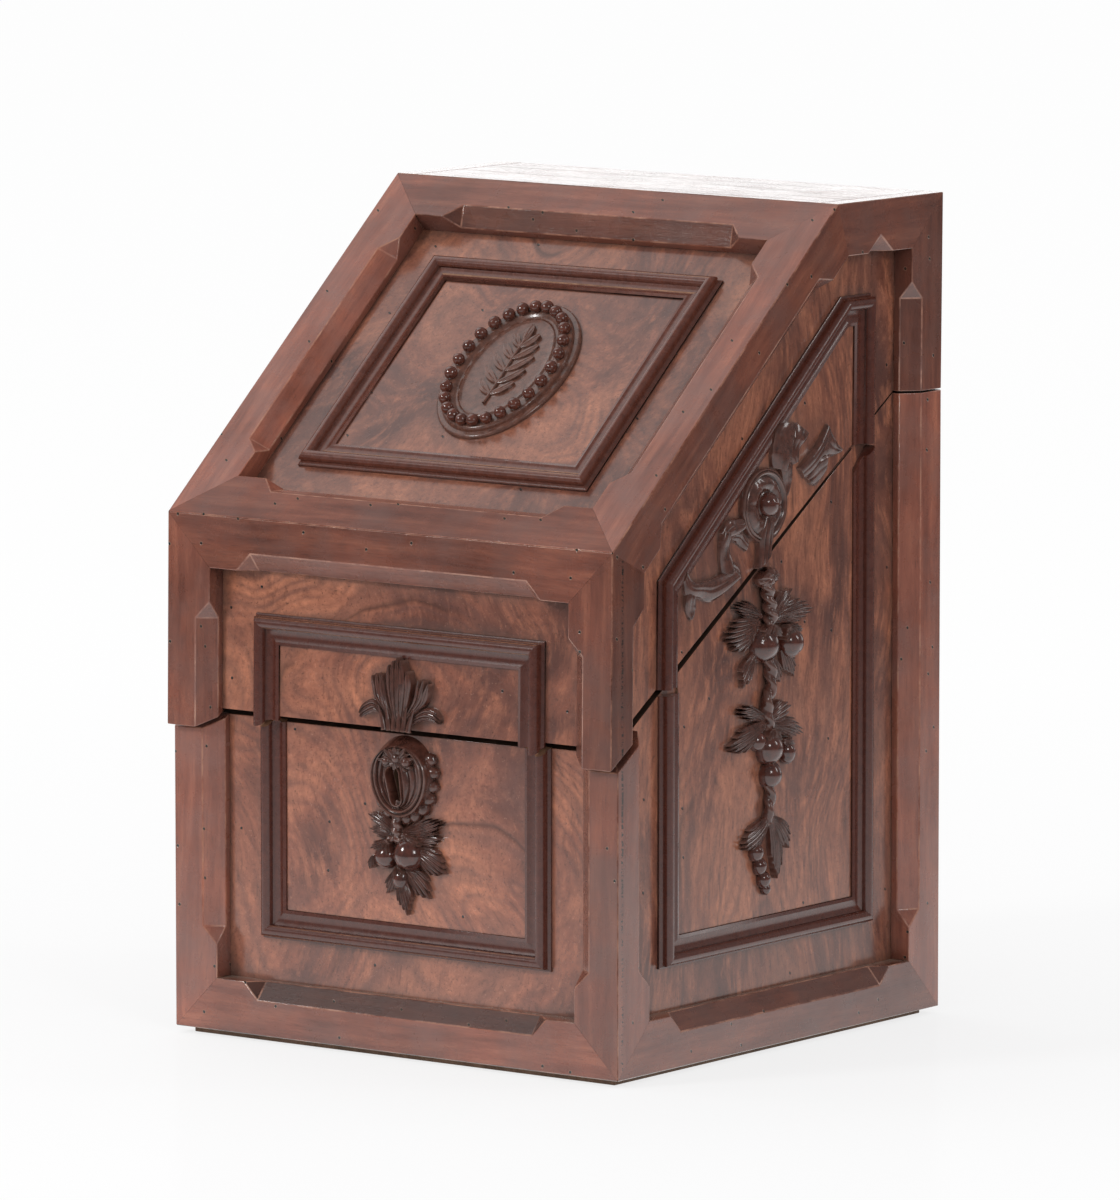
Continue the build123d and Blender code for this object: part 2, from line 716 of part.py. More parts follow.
def build_front_carvings():
    root = (front_middle, 141.0)
    spread = [
        (0, 26.5, 9.5),
        (24, 23.0, 8.0),
        (-24, 23.0, 8.0),
        (50, 21.0, 7.5),
        (-50, 21.0, 7.5),
        (82, 21.5, 6.5),
        (-82, 21.5, 6.5),
    ]
    fan = []
    for angle, length, width in spread:
        tilt = math.radians(angle)
        tip = (root[0] + length * math.sin(tilt), root[1] + 2.2 + length * math.cos(tilt))
        fan.append(lobe((root[0], root[1] + 2.2), tip, width, 4.2))
    panel = moulding_outline(lid_front_outline, 0, moulding_width + running_gap)
    palmette = joined(fan) & prism(panel, panel_level, strip_thickness)
    palmette = lid_front_plane.location * palmette & slant_region(part_gap + running_gap, True)
    save("palmette", lid_pose * palmette)

    centre = Pos(front_middle, escutcheon_centre, 0)
    half_across, half_up = escutcheon_half_width, escutcheon_half_height
    edge_height = escutcheon_height * escutcheon_base_share
    edge = []
    for index in range(2 * scallop_count):
        turn = math.pi * index / scallop_count
        reach = scallop_reach if index % 2 else 0
        edge.append(((half_across + reach) * math.cos(turn), (half_up + reach) * math.sin(turn)))
    base = prism(edge, panel_level, panel_level + edge_height)
    upper = Pos(0, 0, panel_level) * extrude(Ellipse(half_across, half_up), escutcheon_height)
    dish = Pos(0, 0, panel_level + escutcheon_height - escutcheon_dish_depth)
    dish *= extrude(Ellipse(half_across - escutcheon_rim, half_up - escutcheon_rim), escutcheon_height)
    escutcheon = centre * (base + upper - dish)
    trim = slant_region(-part_gap, False)
    spare = part_gap / 2
    save("keyhole_escutcheon", (front_plane.location * escutcheon - keyhole_tool(spare)) & trim)

    reach = scallop_reach + running_gap
    clear = Ellipse(half_across + reach, half_up + reach)
    clear = centre * extrude(clear, strip_thickness, both=True)
    pendant = [
        lobe((117.6, 101.0), (117.6, 84.0), 5.0, 4.0),
        carved_leaf((117.6, 96.0), (102.5, 102.0), 11.0, 3.2),
        carved_leaf((118.0, 94.0), (102.5, 89.5), 9.0, 3.0),
        carved_leaf((121.0, 94.0), (142.0, 101.5), 13.0, 3.6),
        carved_leaf((124.0, 90.0), (142.0, 80.5), 13.0, 3.0),
        carved_leaf((119.0, 82.0), (122.5, 60.5), 15.0, 3.0),
        lobe((118.0, 82.0), (112.5, 67.5), 7.0, 3.0),
        fruit(123.8, 86.4, 7.6),
        fruit(110.3, 84.6, 6.2),
        fruit(118.8, 75.4, 4.6),
    ]
    save("fruit_pendant", front_plane.location * (joined(pendant) - clear))


def build_side_carvings():
    middle = carving_middle
    garland = [
        fruit(middle, 203.2, 5.6),
        lobe((middle, 203.0), (middle + 2.0, 183.0), 6.5, 4.5),
        carved_leaf((122.0, 184.0), (149.0, 187.5), 17.0, 3.6),
        carved_leaf((112.0, 187.0), (92.5, 193.0), 12.0, 3.2),
        carved_leaf((110.0, 180.0), (84.0, 178.0), 15.0, 3.2),
        lobe((107.0, 172.0), (99.7, 157.2), 9.5, 3.0),
        lobe((131.0, 172.0), (136.0, 158.0), 10.0, 3.0),
        fruit(middle, 175.2, 9.2),
        fruit(133.0, 173.6, 7.6),
        lobe((middle + 3.5, 170.0), (middle + 3.5, 142.0), 8.0, 4.2),
        carved_leaf((114.0, 143.0), (94.0, 146.5), 13.0, 3.2),
        carved_leaf((113.0, 140.0), (87.5, 131.0), 14.0, 3.2),
        carved_leaf((120.0, 141.0), (134.5, 151.0), 11.0, 3.2),
        carved_leaf((120.0, 138.0), (142.0, 133.5), 12.0, 3.2),
        fruit(112.0, 130.5, 5.6),
        fruit(119.7, 124.8, 6.6),
        fruit(130.0, 126.5, 6.0),
        fruit(119.8, 114.8, 6.0),
        lobe((middle + 1.5, 122.0), (middle + 2.0, 93.0), 6.5, 4.0),
        carved_leaf((117.7, 98.5), (97.5, 87.5), 14.0, 3.2),
        carved_leaf((117.7, 98.0), (131.8, 83.0), 12.0, 3.2),
        lobe((118.0, 96.0), (121.0, 71.5), 8.5, 3.4),
        fruit(110.5, 83.4, 4.4),
        fruit(112.5, 76.6, 4.0),
        fruit(115.0, 70.8, 3.4),
    ]
    garland = side_plane.location * joined(garland) & slant_region(-part_gap, False)
    save("garland_right", garland)
    save("garland_left", mirrored(garland))

    disc_z = 233.6
    disc_radius = 15.6
    disc = Pos(middle, disc_z, panel_level) * extrude(Circle(disc_radius), 3.4)
    dish = Pos(middle, disc_z, panel_level + 2.2) * extrude(Circle(disc_radius - 1.8), 3.0)
    boss = fruit(middle + 1.0, disc_z, 5.6, 0.5)
    strap = lobe((middle + 4.0, disc_z - 4.0), (middle, 200.0), 7.0, 4.2)
    upper = [
        lobe((126.0, 246.5), (128.5, 269.0), 11.0, 3.2),
        lobe((126.0, 267.0), (147.5, 261.0), 9.5, 3.0),
        lobe((147.5, 263.0), (131.5, 241.0), 8.0, 3.0),
        lobe((143.0, 254.0), (157.0, 240.5), 11.0, 3.4),
        lobe((151.0, 241.5), (165.5, 264.5), 11.5, 3.6),
        lobe((158.0, 250.0), (174.0, 254.5), 8.0, 3.0),
    ]
    lower = [
        lobe((103.0, 229.5), (83.5, 221.5), 9.0, 3.2),
        lobe((86.0, 227.0), (86.0, 203.0), 9.0, 3.2),
        lobe((97.5, 206.0), (83.0, 211.0), 8.0, 3.2),
        lobe((95.5, 206.5), (74.0, 193.5), 9.5, 3.4),
        lobe((82.0, 197.5), (59.0, 205.0), 9.0, 3.2),
        lobe((62.0, 210.5), (63.5, 189.5), 7.0, 3.0),
    ]
    shift = Pos(lid_overhang, 0, 0)
    panel = moulding_outline(lid_side_outline, lid_overhang, moulding_width + running_gap)
    ribbon = shift * joined([disc - dish, boss, strap, *upper, *lower])
    ribbon &= prism(panel, panel_level, strip_thickness)
    ribbon = lid_side_plane.location * ribbon & slant_region(part_gap + running_gap, True)
    save("ribbon_and_disc_right", lid_pose * ribbon)
    save("ribbon_and_disc_left", lid_pose * mirrored(ribbon))


def build_medallion():
    def oval(grow):
        return Ellipse(bead_ring_width + grow, bead_ring_height + grow)

    centre = slope_plane.location * Pos(box_width / 2, slope_length / 2, panel_level)
    step = extrude(oval(medallion_border + medallion_rim), medallion_rim_height)
    plate = extrude(oval(medallion_border), medallion_height)
    dish_floor = medallion_height - medallion_dish_depth
    dish = Pos(0, 0, dish_floor) * extrude(oval(-medallion_dish_border), medallion_height)
    save("medallion_plate", lid_pose * (centre * (step + plate - dish)))

    beads = []
    for index in range(bead_count):
        turn = 2 * math.pi * index / bead_count
        x, y = bead_ring_width * math.cos(turn), bead_ring_height * math.sin(turn)
        bead = dome(x, y, bead_radius, medallion_height, medallion_height + bead_radius * bead_rise, bead_sides)
        beads.append(lid_pose * (centre * bead))
    save("medallion_beads", as_group(beads))


def main():
    os.makedirs("parts", exist_ok=True)
    build_base_boards()
    build_base_trim()
    build_lid_boards()
    build_lid_trim()
    build_hinges()
    build_lock()
    build_rack()
    build_front_carvings()
    build_side_carvings()
    build_medallion()


main()
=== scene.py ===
import math

import bmesh
import bpy
import numpy as np
from mathutils import Matrix, Vector


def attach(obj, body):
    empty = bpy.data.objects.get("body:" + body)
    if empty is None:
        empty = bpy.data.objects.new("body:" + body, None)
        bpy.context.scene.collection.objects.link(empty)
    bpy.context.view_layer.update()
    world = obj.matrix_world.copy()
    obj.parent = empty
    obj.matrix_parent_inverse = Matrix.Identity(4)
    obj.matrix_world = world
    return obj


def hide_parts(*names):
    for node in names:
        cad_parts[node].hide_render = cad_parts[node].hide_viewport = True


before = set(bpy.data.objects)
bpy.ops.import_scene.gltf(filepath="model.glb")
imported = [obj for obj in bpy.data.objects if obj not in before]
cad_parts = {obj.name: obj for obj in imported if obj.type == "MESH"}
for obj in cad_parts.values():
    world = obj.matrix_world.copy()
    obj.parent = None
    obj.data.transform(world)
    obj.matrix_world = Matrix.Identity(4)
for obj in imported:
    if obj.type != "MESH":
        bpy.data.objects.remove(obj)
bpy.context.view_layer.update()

MM = 0.001
HALF = 120
LID_FRONT = -123.4
SHOULDER = 227.5
FOOT = 3
SLOPE = math.radians(39.99)
HINGE = Vector((0, 0.123, 0.27765))
AJAR = Matrix.Translation(HINGE) @ Matrix.Rotation(math.radians(-0.65), 4, "X") @ Matrix.Translation(-HINGE)
PANEL = -8.8
PART_SLOPE = 0.6536
PART_START = FOOT + 132.7
SLOPE_OUT = Vector((0, -math.sin(SLOPE), math.cos(SLOPE)))


# Camera, light and floor
def add_camera():
    data = bpy.data.cameras.new("camera")
    data.sensor_width = 36
    data.lens = 338.439
    data.clip_end = 100
    camera = bpy.data.objects.new("camera", data)
    camera.location = (2.91559, -3.935713, 0.843753)
    camera.rotation_euler = (math.pi / 2 - 0.1332, 0, 0.6375)
    bpy.context.scene.collection.objects.link(camera)
    bpy.context.scene.camera = camera


def add_lamp(name, place, target, size, power, size_y=None):
    data = bpy.data.lights.new(name, "AREA")
    data.shape = "RECTANGLE"
    data.size = size
    data.size_y = size_y or size
    data.energy = power
    lamp = bpy.data.objects.new(name, data)
    lamp.location = place
    lamp.rotation_euler = (Vector(target) - Vector(place)).to_track_quat("-Z", "Y").to_euler()
    bpy.context.scene.collection.objects.link(lamp)


# Materials
class Graph:
    """A small writer for node materials: every call adds a node and gives back its socket."""

    def __init__(self, name, tree=None):
        if tree is None:
            self.material = bpy.data.materials.new(name)
            self.material.use_nodes = True
            tree = self.material.node_tree
        self.tree = tree
        self.tree.nodes.clear()

    def put(self, socket, value):
        if isinstance(value, bpy.types.NodeSocket):
            self.tree.links.new(value, socket)
        elif isinstance(value, (tuple, list)) and len(value) == 3 and socket.type == "RGBA":
            socket.default_value = (*value, 1)
        else:
            socket.default_value = value

    def bare(self, kind, **settings):
        """A new node with its settings."""
        made = self.tree.nodes.new("ShaderNode" + kind)
        for key, value in settings.items():
            setattr(made, key, value)
        return made

    def fed(self, made, *values, output=0):
        """Fills a node's sockets in their order and gives back one of its outputs."""
        for socket, value in zip(made.inputs, values):
            self.put(socket, value)
        return made.outputs[output]

    def node(self, kind, output=0, settings=None, **inputs):
        made = self.bare(kind, **(settings or {}))
        for key, value in inputs.items():
            self.put(made.inputs[key.replace("_", " ")], value)
        return made.outputs[output]

    def math(self, operation, a, b=0):
        return self.fed(self.bare("Math", operation=operation), a, b)

    def vector(self, operation, a, b=(0, 0, 0), output=0):
        return self.fed(self.bare("VectorMath", operation=operation), a, b, output=output)

    def attribute(self, name):
        """Number that each face carries under a name."""
        return self.bare("Attribute", attribute_name=name).outputs["Fac"]

    def parts(self, place):
        return [self.node("SeparateXYZ", index, Vector=place) for index in range(3)]

    def times(self, a, b):
        return self.math("MULTIPLY", a, b)

    def plus(self, a, b):
        return self.math("ADD", a, b)

    def minus(self, a, b):
        return self.math("SUBTRACT", a, b)

    def stretch(self, a, b):
        return self.vector("MULTIPLY", a, b)

    def shift(self, a, b):
        return self.vector("ADD", a, b)

    def scaled(self, a, scale):
        made = self.bare("VectorMath", operation="SCALE")
        self.put(made.inputs["Scale"], scale)
        return self.fed(made, a)

    def mix(self, factor, a, b, blend="MIX"):
        made = self.bare("Mix", data_type="RGBA", blend_type=blend)
        for index, value in ((0, factor), (6, a), (7, b)):
            self.put(made.inputs[index], value)
        return made.outputs[2]

    def stained(self, color, *layers):
        """Tints laid over a colour one by one, each by its own factor."""
        for factor, tint, *blend in layers:
            color = self.mix(factor, color, tint, *blend)
        return color

    def blend(self, factor, a, b):
        return self.fed(self.bare("MixShader"), factor, a, b)

    def ramp(self, factor, stops):
        made = self.bare("ValToRGB")
        elements = made.color_ramp.elements
        while len(elements) < len(stops):
            elements.new(0.5)
        for element, (place, value) in zip(elements, stops):
            element.position = place
            colour = (value, value, value) if isinstance(value, (int, float)) else value
            element.color = (*colour, 1)
        return self.fed(made, factor)

    def span(self, value, low, high, to_low=0, to_high=1):
        return self.fed(self.bare("MapRange", clamp=True), value, low, high, to_low, to_high)

    def noise(self, vector, scale, detail=2, rough=0.5, distortion=0, output=0):
        more = dict(Scale=scale, Detail=detail, Roughness=rough, Distortion=distortion)
        return self.node("TexNoise", output, Vector=vector, **more)

    def coords(self):
        """Object coordinates in millimetres; every piece's object sits at the origin."""
        place = self.node("TexCoord", 3)
        return self.scaled(place, 1000)

    def grey(self, value):
        return self.node("CombineColor", Red=value, Green=value, Blue=value)

    def bump(self, height, strength, distance=0.0002):
        return self.node("Bump", Height=height, Strength=strength, Distance=distance)

    def finish(self, color, roughness, normal, polish=None, **more):
        if polish:
            own = self.attribute("polish")
            more |= dict(Coat_Weight=self.times(own, polish), Specular_IOR_Level=self.times(own, 0.5))
        more |= dict(Base_Color=color, Roughness=roughness, Normal=normal, Coat_Normal=normal)
        self.put(self.bare("OutputMaterial").inputs[0], self.node("BsdfPrincipled", **more))
        return self.material


def shades(tone, *colors):
    """Colours made lighter or darker together."""
    return [tuple(tone * value for value in rgb) for rgb in colors]


def grain_space(g, place, axis):
    """Coordinates with their first part running along the grain."""
    if axis == "x":
        return place
    if axis == "z":
        turn = (0, math.pi / 2, 0)
    elif axis == "y":
        turn = (0, 0, math.pi / 2)
    else:
        place = g.node("VectorRotate", 0, {"rotation_type": "X_AXIS"}, Vector=place, Angle=-SLOPE)
        turn = (0, 0, math.pi / 2)
    return g.node("Mapping", Vector=place, Rotation=turn)


def worm_holes(g, place, density=0.55):
    """Small round flight holes: a dark dot in a faint pale ring, only in some cells."""
    cells = g.bare("TexVoronoi", voronoi_dimensions="2D")
    x, y, z = g.parts(place)
    g.put(cells.inputs["Scale"], 0.055)
    g.put(cells.inputs["Vector"], g.node("CombineXYZ", X=g.plus(x, y), Y=g.plus(z, g.times(y, 0.37))))
    far, tint = cells.outputs["Distance"], cells.outputs["Color"]
    holed = g.math("GREATER_THAN", g.node("SeparateColor", Color=tint), density)
    dot = g.times(g.span(far, 0.030, 0.042, 1, 0), holed)
    ring = g.times(g.span(far, 0.042, 0.062, 1, 0), holed)
    return dot, ring


def corner_nicks(g, place):
    """A row of small dark nicks down the right side beside the front corner."""
    x, y, z = g.parts(place)
    sway = g.noise(g.stretch(place, (0, 0, 0.05)), 1, 2)
    off = g.math("ABSOLUTE", g.plus(y, g.plus(g.times(sway, 2), 115.8)))
    row = g.times(g.span(off, 0.4, 1, 1, 0), g.math("GREATER_THAN", x, 119.9))
    nick = g.noise(g.stretch(place, (0.4, 0.4, 0.9)), 1, 2, 0.7)
    dense = g.plus(nick, g.span(z, 60, 110, 0, 0.07))
    dense = g.minus(dense, g.span(z, 134, 140, 0, 0.05))
    return g.times(row, g.span(dense, 0.54, 0.58))


def facing_up(g):
    """One on ledges that face straight up, where dust settles."""
    normal = g.node("NewGeometry", 1)
    return g.span(g.node("SeparateXYZ", 2, Vector=normal), 0.88, 0.96)


def hollows(g, reach, start, end, most=1):
    """Up to one deep in hollows and corners, none where the surface stands free."""
    shade = g.node("AmbientOcclusion", 1, {"samples": 4, "only_local": False}, Distance=reach)
    return g.span(shade, start, end, 0, most)


def walnut(name, axis, tone=1, edge=False, gloss=0.23, streaky=False):
    """Polished straight-grained walnut for the frame strips."""
    g = Graph(name)
    place = g.coords()
    random = g.node("ObjectInfo", 5)
    shift = g.scaled(g.node("CombineXYZ", X=random, Y=random, Z=random), 400)
    along = g.shift(grain_space(g, place, axis), shift)
    bend = g.noise(g.stretch(along, (0.006, 0.03, 0.03)), 1, 2, output=1)
    bent = g.shift(along, g.stretch(bend, (0, 14, 14)))
    streak, fine, pores = (
        g.noise(g.stretch(bent, (run, across, across)), 1, detail, rough)
        for run, across, detail, rough in ((0.018, 0.20, 5, 0.62), (0.03, 1.6, 3, 0.6), (0.14, 4.4, 1, 0.5))
    )
    cloud = g.noise(place, 0.022, 4, 0.6)
    greyed = g.noise(g.shift(place, (300, 40, 90)), 0.035, 4, 0.6)
    dot, ring = worm_holes(g, place)
    dark, middle, light = shades(tone, (0.125, 0.038, 0.024), (0.190, 0.060, 0.037), (0.275, 0.095, 0.056))
    color = g.stained(
        g.ramp(streak, [(0.30, dark), (0.5, middle), (0.72, light)]),
        (g.span(fine, 0.35, 0.7, 0, 0.30), dark),
        (g.span(pores, 0.60, 0.72, 0, 0.45), (0.045, 0.018, 0.012)),
        (1, g.ramp(cloud, [(0.3, 0.74), (0.7, 1.22)]), "MULTIPLY"),
        # Painted sheen: grey-pink patches stand for the mottled sheen on the polish.
        (g.span(greyed, 0.42, 0.66, 0, 0.55), (0.140, 0.072, 0.060)),
        # Each face's tone: the piece's own tone with painted light and shade mixed in.
        (1, g.grey(g.attribute("tone")), "MULTIPLY"),
        # Painted shade: dark brown laid in hollows and corners.
        (hollows(g, 0.014, 0.62, 0.30, 0.6), (0.040, 0.014, 0.010)),
    )
    if edge:
        wear_and_painted_light = g.noise(place, 0.09, 4, 0.65)
        color = g.mix(g.span(wear_and_painted_light, 0.42, 0.62, 0.05, 0.75), color, (0.44, 0.22, 0.15))
    ledge = g.times(hollows(g, 0.008, 0.86, 0.6), facing_up(g))
    color = g.mix(g.times(ledge, 0.7), color, (0.46, 0.36, 0.29))
    if axis == "z":
        color = g.mix(corner_nicks(g, place), color, (0.020, 0.012, 0.009))
    color = g.stained(color, (g.times(ring, 0.35), (0.38, 0.22, 0.14)), (dot, (0.012, 0.008, 0.006)))
    rough = g.span(g.noise(place, 0.05, 5, 0.65), 0.3, 0.7, gloss, gloss + 0.10)
    height = g.minus(g.times(fine, 0.5), g.times(pores, 0.7))
    height = g.minus(g.plus(height, g.times(cloud, 2)), g.times(dot, 3))
    polish = 0.8
    if streaky:
        line = g.noise(g.stretch(bent, (0.010, 0.11, 0.11)), 1, 5, 0.7)
        polish = g.span(line, 0.34, 0.50, 0.30, 0.74)
    return g.finish(color, rough, g.bump(height, 0.35), polish, Coat_Roughness=0.12, Coat_IOR=1.5, IOR=1.5)


def burr(name, seed, tone=1, flow=(1, 1, 0.55), dust_and_shade_tint=(0.20, 0.15, 0.12), dust_and_shade_share=0.5,
         flecks=0.5, dust_and_shade_reach=0.007):
    """Burr walnut veneer: flowing dark veins and contours over orange and dark clouds."""
    g = Graph(name)
    leaf = g.attribute("veneer")
    offset = g.scaled(g.node("CombineXYZ", X=leaf, Y=0, Z=leaf), 170)
    place = g.shift(g.shift(g.coords(), offset), seed)
    run = g.stretch(place, flow)
    warp = g.noise(run, 0.011, 2, 0.45, output=1)
    warp = g.scaled(g.vector("SUBTRACT", warp, (0.5, 0.5, 0.5)), 85)
    warped = g.shift(run, warp)
    cloud = g.noise(warped, 0.022, 5, 0.60)
    field = g.plus(g.noise(warped, 0.0085, 1, 0.4), g.times(g.noise(run, 0.09, 3, 0.6), 0.016))
    fade, patchy = (g.noise(run, scale, 3, 0.55) for scale in (0.020, 0.030))
    contour, band, crack = (g.math("PINGPONG", g.times(field, rings), 1) for rings in (84, 23, 11))
    fine = g.noise(g.shift(run, g.scaled(warp, 0.5)), 0.5, 5, 0.68)
    fibre = g.noise(g.stretch(warped, (1, 1, 0.12)), 0.8, 3, 0.6)
    fleck = g.noise(g.stretch(warped, (1, 1, 0.30)), 0.20, 5, 0.68)
    speck = g.noise(place, 0.9, 2, 0.6)
    film = g.noise(place, 0.03, 5, 0.6)
    thin = g.times(g.span(crack, 0.90, 0.995), g.span(fade, 0.52, 0.62, 0, 0.7))
    # Grey dust in the hollows; the slope's dark tint turns it into dark grime with painted shade.
    dust = g.times(hollows(g, dust_and_shade_reach, 0.86, 0.45), g.span(film, 0.35, 0.65, 0.1, dust_and_shade_share))
    dot, _ = worm_holes(g, place, 0.8)
    dark, middle, light = shades(tone, (0.095, 0.034, 0.024), (0.230, 0.080, 0.048), (0.400, 0.150, 0.082))
    color = g.stained(
        g.ramp(cloud, [(0.33, dark), (0.47, middle), (0.64, light)]),
        (g.span(fleck, 0.50, 0.68, 0, flecks), tuple(1.1 * value for value in light)),
        (g.span(fleck, 0.46, 0.30, 0, 0.8 * flecks), (0.060, 0.020, 0.014)),
        (g.times(g.span(band, 0.35, 1), g.span(fade, 0.38, 0.60, 0.08, 0.55)), (0.100, 0.044, 0.036)),
        (g.times(g.span(contour, 0.25, 1), g.span(patchy, 0.40, 0.60, 0.05, 0.50)), (0.080, 0.036, 0.030)),
        (thin, (0.035, 0.014, 0.010)),
        (g.span(fine, 0.38, 0.72, 0, 0.5), dark),
        (g.span(fibre, 0.56, 0.72, 0, 0.45), (0.060, 0.020, 0.013)),
        (g.span(speck, 0.62, 0.72, 0, 0.6), (0.03, 0.014, 0.01)),
        (g.span(speck, 0.34, 0.26, 0, 0.35), (0.42, 0.22, 0.15)),
        # Each face's tone: the piece's own tone with painted light mixed in.
        (1, g.grey(g.attribute("tone")), "MULTIPLY"),
        (dust, dust_and_shade_tint),
        # Painted shade: dark brown laid in hollows and corners.
        (hollows(g, 0.014, 0.62, 0.30, 0.5), (0.040, 0.014, 0.010)),
        (dot, (0.012, 0.008, 0.006)),
    )
    rough = g.plus(g.span(film, 0.3, 0.7, 0.20, 0.32), g.times(dust, 0.4))
    height = g.minus(g.plus(g.times(fine, 0.5), g.times(film, 1.6)), g.times(dot, 3))
    height = g.minus(height, g.times(thin, 0.5))
    return g.finish(color, rough, g.bump(height, 0.30), 0.8, Coat_Roughness=0.12, Coat_IOR=1.5, IOR=1.5)


def dark_wood(name, base, light, rough_low, rough_high, dust_and_shade_share, dust_and_shade_reach=0.004,
              dust_and_shade_tint=(0.20, 0.15, 0.125), coat=0.6, wear_and_painted_light=0, rough_skin=0.30):
    """Ebonised or dark mahogany, polished, with dust held in its hollows."""
    g = Graph(name)
    place = g.coords()
    streak = g.noise(g.scaled(place, 0.35), 1, 4, 0.6)
    color = g.ramp(streak, [(0.3, base), (0.72, light)])
    film = g.noise(place, 0.16, 4, 0.65)
    # Light grey dust held in the hollows.
    dust = g.times(hollows(g, dust_and_shade_reach, 0.72, 0.3), g.span(film, 0.3, 0.65, 0.2, dust_and_shade_share))
    color = g.mix(dust, color, dust_and_shade_tint)
    # Near-black in the creases is painted shade; pale on the sharp ridges is rubbed wear with painted
    # highlight lines.
    if wear_and_painted_light:
        point = g.node("NewGeometry", 7)
        color = g.mix(g.span(point, 0.50, 0.42, 0, 0.8), color, (0.012, 0.006, 0.005))
        color = g.mix(g.span(point, 0.53, 0.64, 0, wear_and_painted_light), color, (0.26, 0.15, 0.12))
    rough = g.plus(g.span(film, 0.3, 0.7, rough_low, rough_high), g.times(dust, 0.35))
    uneven = g.noise(place, 0.5, 3, 0.6)
    normal = g.bump(g.plus(uneven, g.times(streak, 0.3)), rough_skin, 0.00025)
    return g.finish(color, rough, normal, Coat_Weight=coat, Coat_Roughness=0.10, Coat_IOR=1.5, IOR=1.5)


def plain_wood(name, axis, low, high):
    """Unpolished inside wood."""
    g = Graph(name)
    place = g.coords()
    along = grain_space(g, place, axis)
    streak = g.noise(g.stretch(along, (0.006, 0.16, 0.16)), 1, 5, 0.6, 0.6)
    fine = g.noise(g.stretch(along, (0.05, 1.4, 1.4)), 1, 3, 0.6)
    color = g.ramp(streak, [(0.3, low), (0.7, high)])
    color = g.mix(g.span(fine, 0.4, 0.75, 0, 0.35), color, low)
    stain = g.noise(place, 0.02, 4, 0.6)
    color = g.mix(1, color, g.ramp(stain, [(0.3, 0.7), (0.7, 1.1)]), "MULTIPLY")
    return g.finish(color, g.span(fine, 0.3, 0.7, 0.5, 0.68), g.bump(fine, 0.4), IOR=1.45)


def metal(name, color, tarnish, rough):
    g = Graph(name)
    place = g.coords()
    patch = g.noise(place, 0.18, 5, 0.65)
    scratch = g.noise(g.stretch(place, (0.3, 3, 3)), 1, 2)
    tone = g.mix(g.span(patch, 0.42, 0.68), color, tarnish)
    roughness = g.plus(g.span(patch, 0.3, 0.7, rough, rough + 0.22), g.times(scratch, 0.08))
    return g.finish(tone, roughness, g.bump(scratch, 0.12, 0.0001), Metallic=1)


def stage_material():
    g = Graph("stage_floor")
    far = g.vector("LENGTH", g.stretch(g.node("TexCoord", 3), (1, 1, 0)), output=1)
    ray = g.bare("LightPath").outputs
    level = g.math("MAXIMUM", g.span(far, 0.9, 2.4, 0.92, 0.24), ray["Is Camera Ray"])
    body = g.node("BsdfDiffuse", Color=g.grey(g.math("MINIMUM", level, 0.92)))
    gloss = g.node("BsdfAnisotropic", Color=(1, 1, 1), Roughness=0.16)
    glow = g.node("Emission", Color=(1, 1, 1), Strength=1)
    share = g.times(ray["Is Camera Ray"], g.span(far, 0.25, 1.1, 0.76, 0.95))
    seen = g.blend(share, g.blend(0.045, body, gloss), glow)
    mirrored = g.node("Emission", Color=g.grey(g.span(far, 0.40, 1.45, 1, 0.10)), Strength=1)
    seen = g.blend(ray["Is Glossy Ray"], seen, mirrored)
    g.put(g.bare("OutputMaterial").inputs[0], seen)
    return g.material


def add_stage():
    mesh = bpy.data.meshes.new("floor")
    reach = 14
    corners = [(-reach, -reach, 0), (reach, -reach, 0), (reach, reach, 0), (-reach, reach, 0)]
    mesh.from_pydata(corners, [], [(0, 1, 2, 3)])
    floor = bpy.data.objects.new("floor", mesh)
    bpy.context.scene.collection.objects.link(floor)
    floor.data.materials.append(stage_material())

    world = bpy.data.worlds.new("studio")
    bpy.context.scene.world = world
    world.use_nodes = True
    sky = Graph("", world.node_tree)
    ray = sky.bare("LightPath").outputs
    direction = sky.node("TexCoord", 0)
    height = sky.node("SeparateXYZ", 2, Vector=direction)
    back = sky.vector("DOT_PRODUCT", direction, (-0.59, 0.80, 0), output=1)
    near = sky.times(sky.span(height, 0.10, 0.42, 1, 0), sky.span(back, 0.45, 0.9))
    glossy = sky.math("MAXIMUM", sky.times(near, 1.75), 0.16)
    level = sky.mix(ray["Is Glossy Ray"], (0.68, 0.68, 0.69), glossy)
    level = sky.mix(ray["Is Camera Ray"], level, (1, 1, 1))
    sky.put(sky.bare("OutputWorld").inputs[0], sky.node("Background", Color=level, Strength=1))

    add_lamp("overhead_softbox", (-1.35, 0.05, 1.95), (0, 0, 0.25), 1.9, 9)
    add_lamp("front_softbox", (-1.1, -2.2, 1.5), (0, 0, 0.2), 0.5, 22)
    add_lamp("side_softbox", (2.5, -1.5, 1.5), (0, 0, 0.2), 0.6, 11)
    add_lamp("right_strip", (2, 1.3, 1.3), (0, 0, 0.2), 0.3, 5, size_y=0.9)


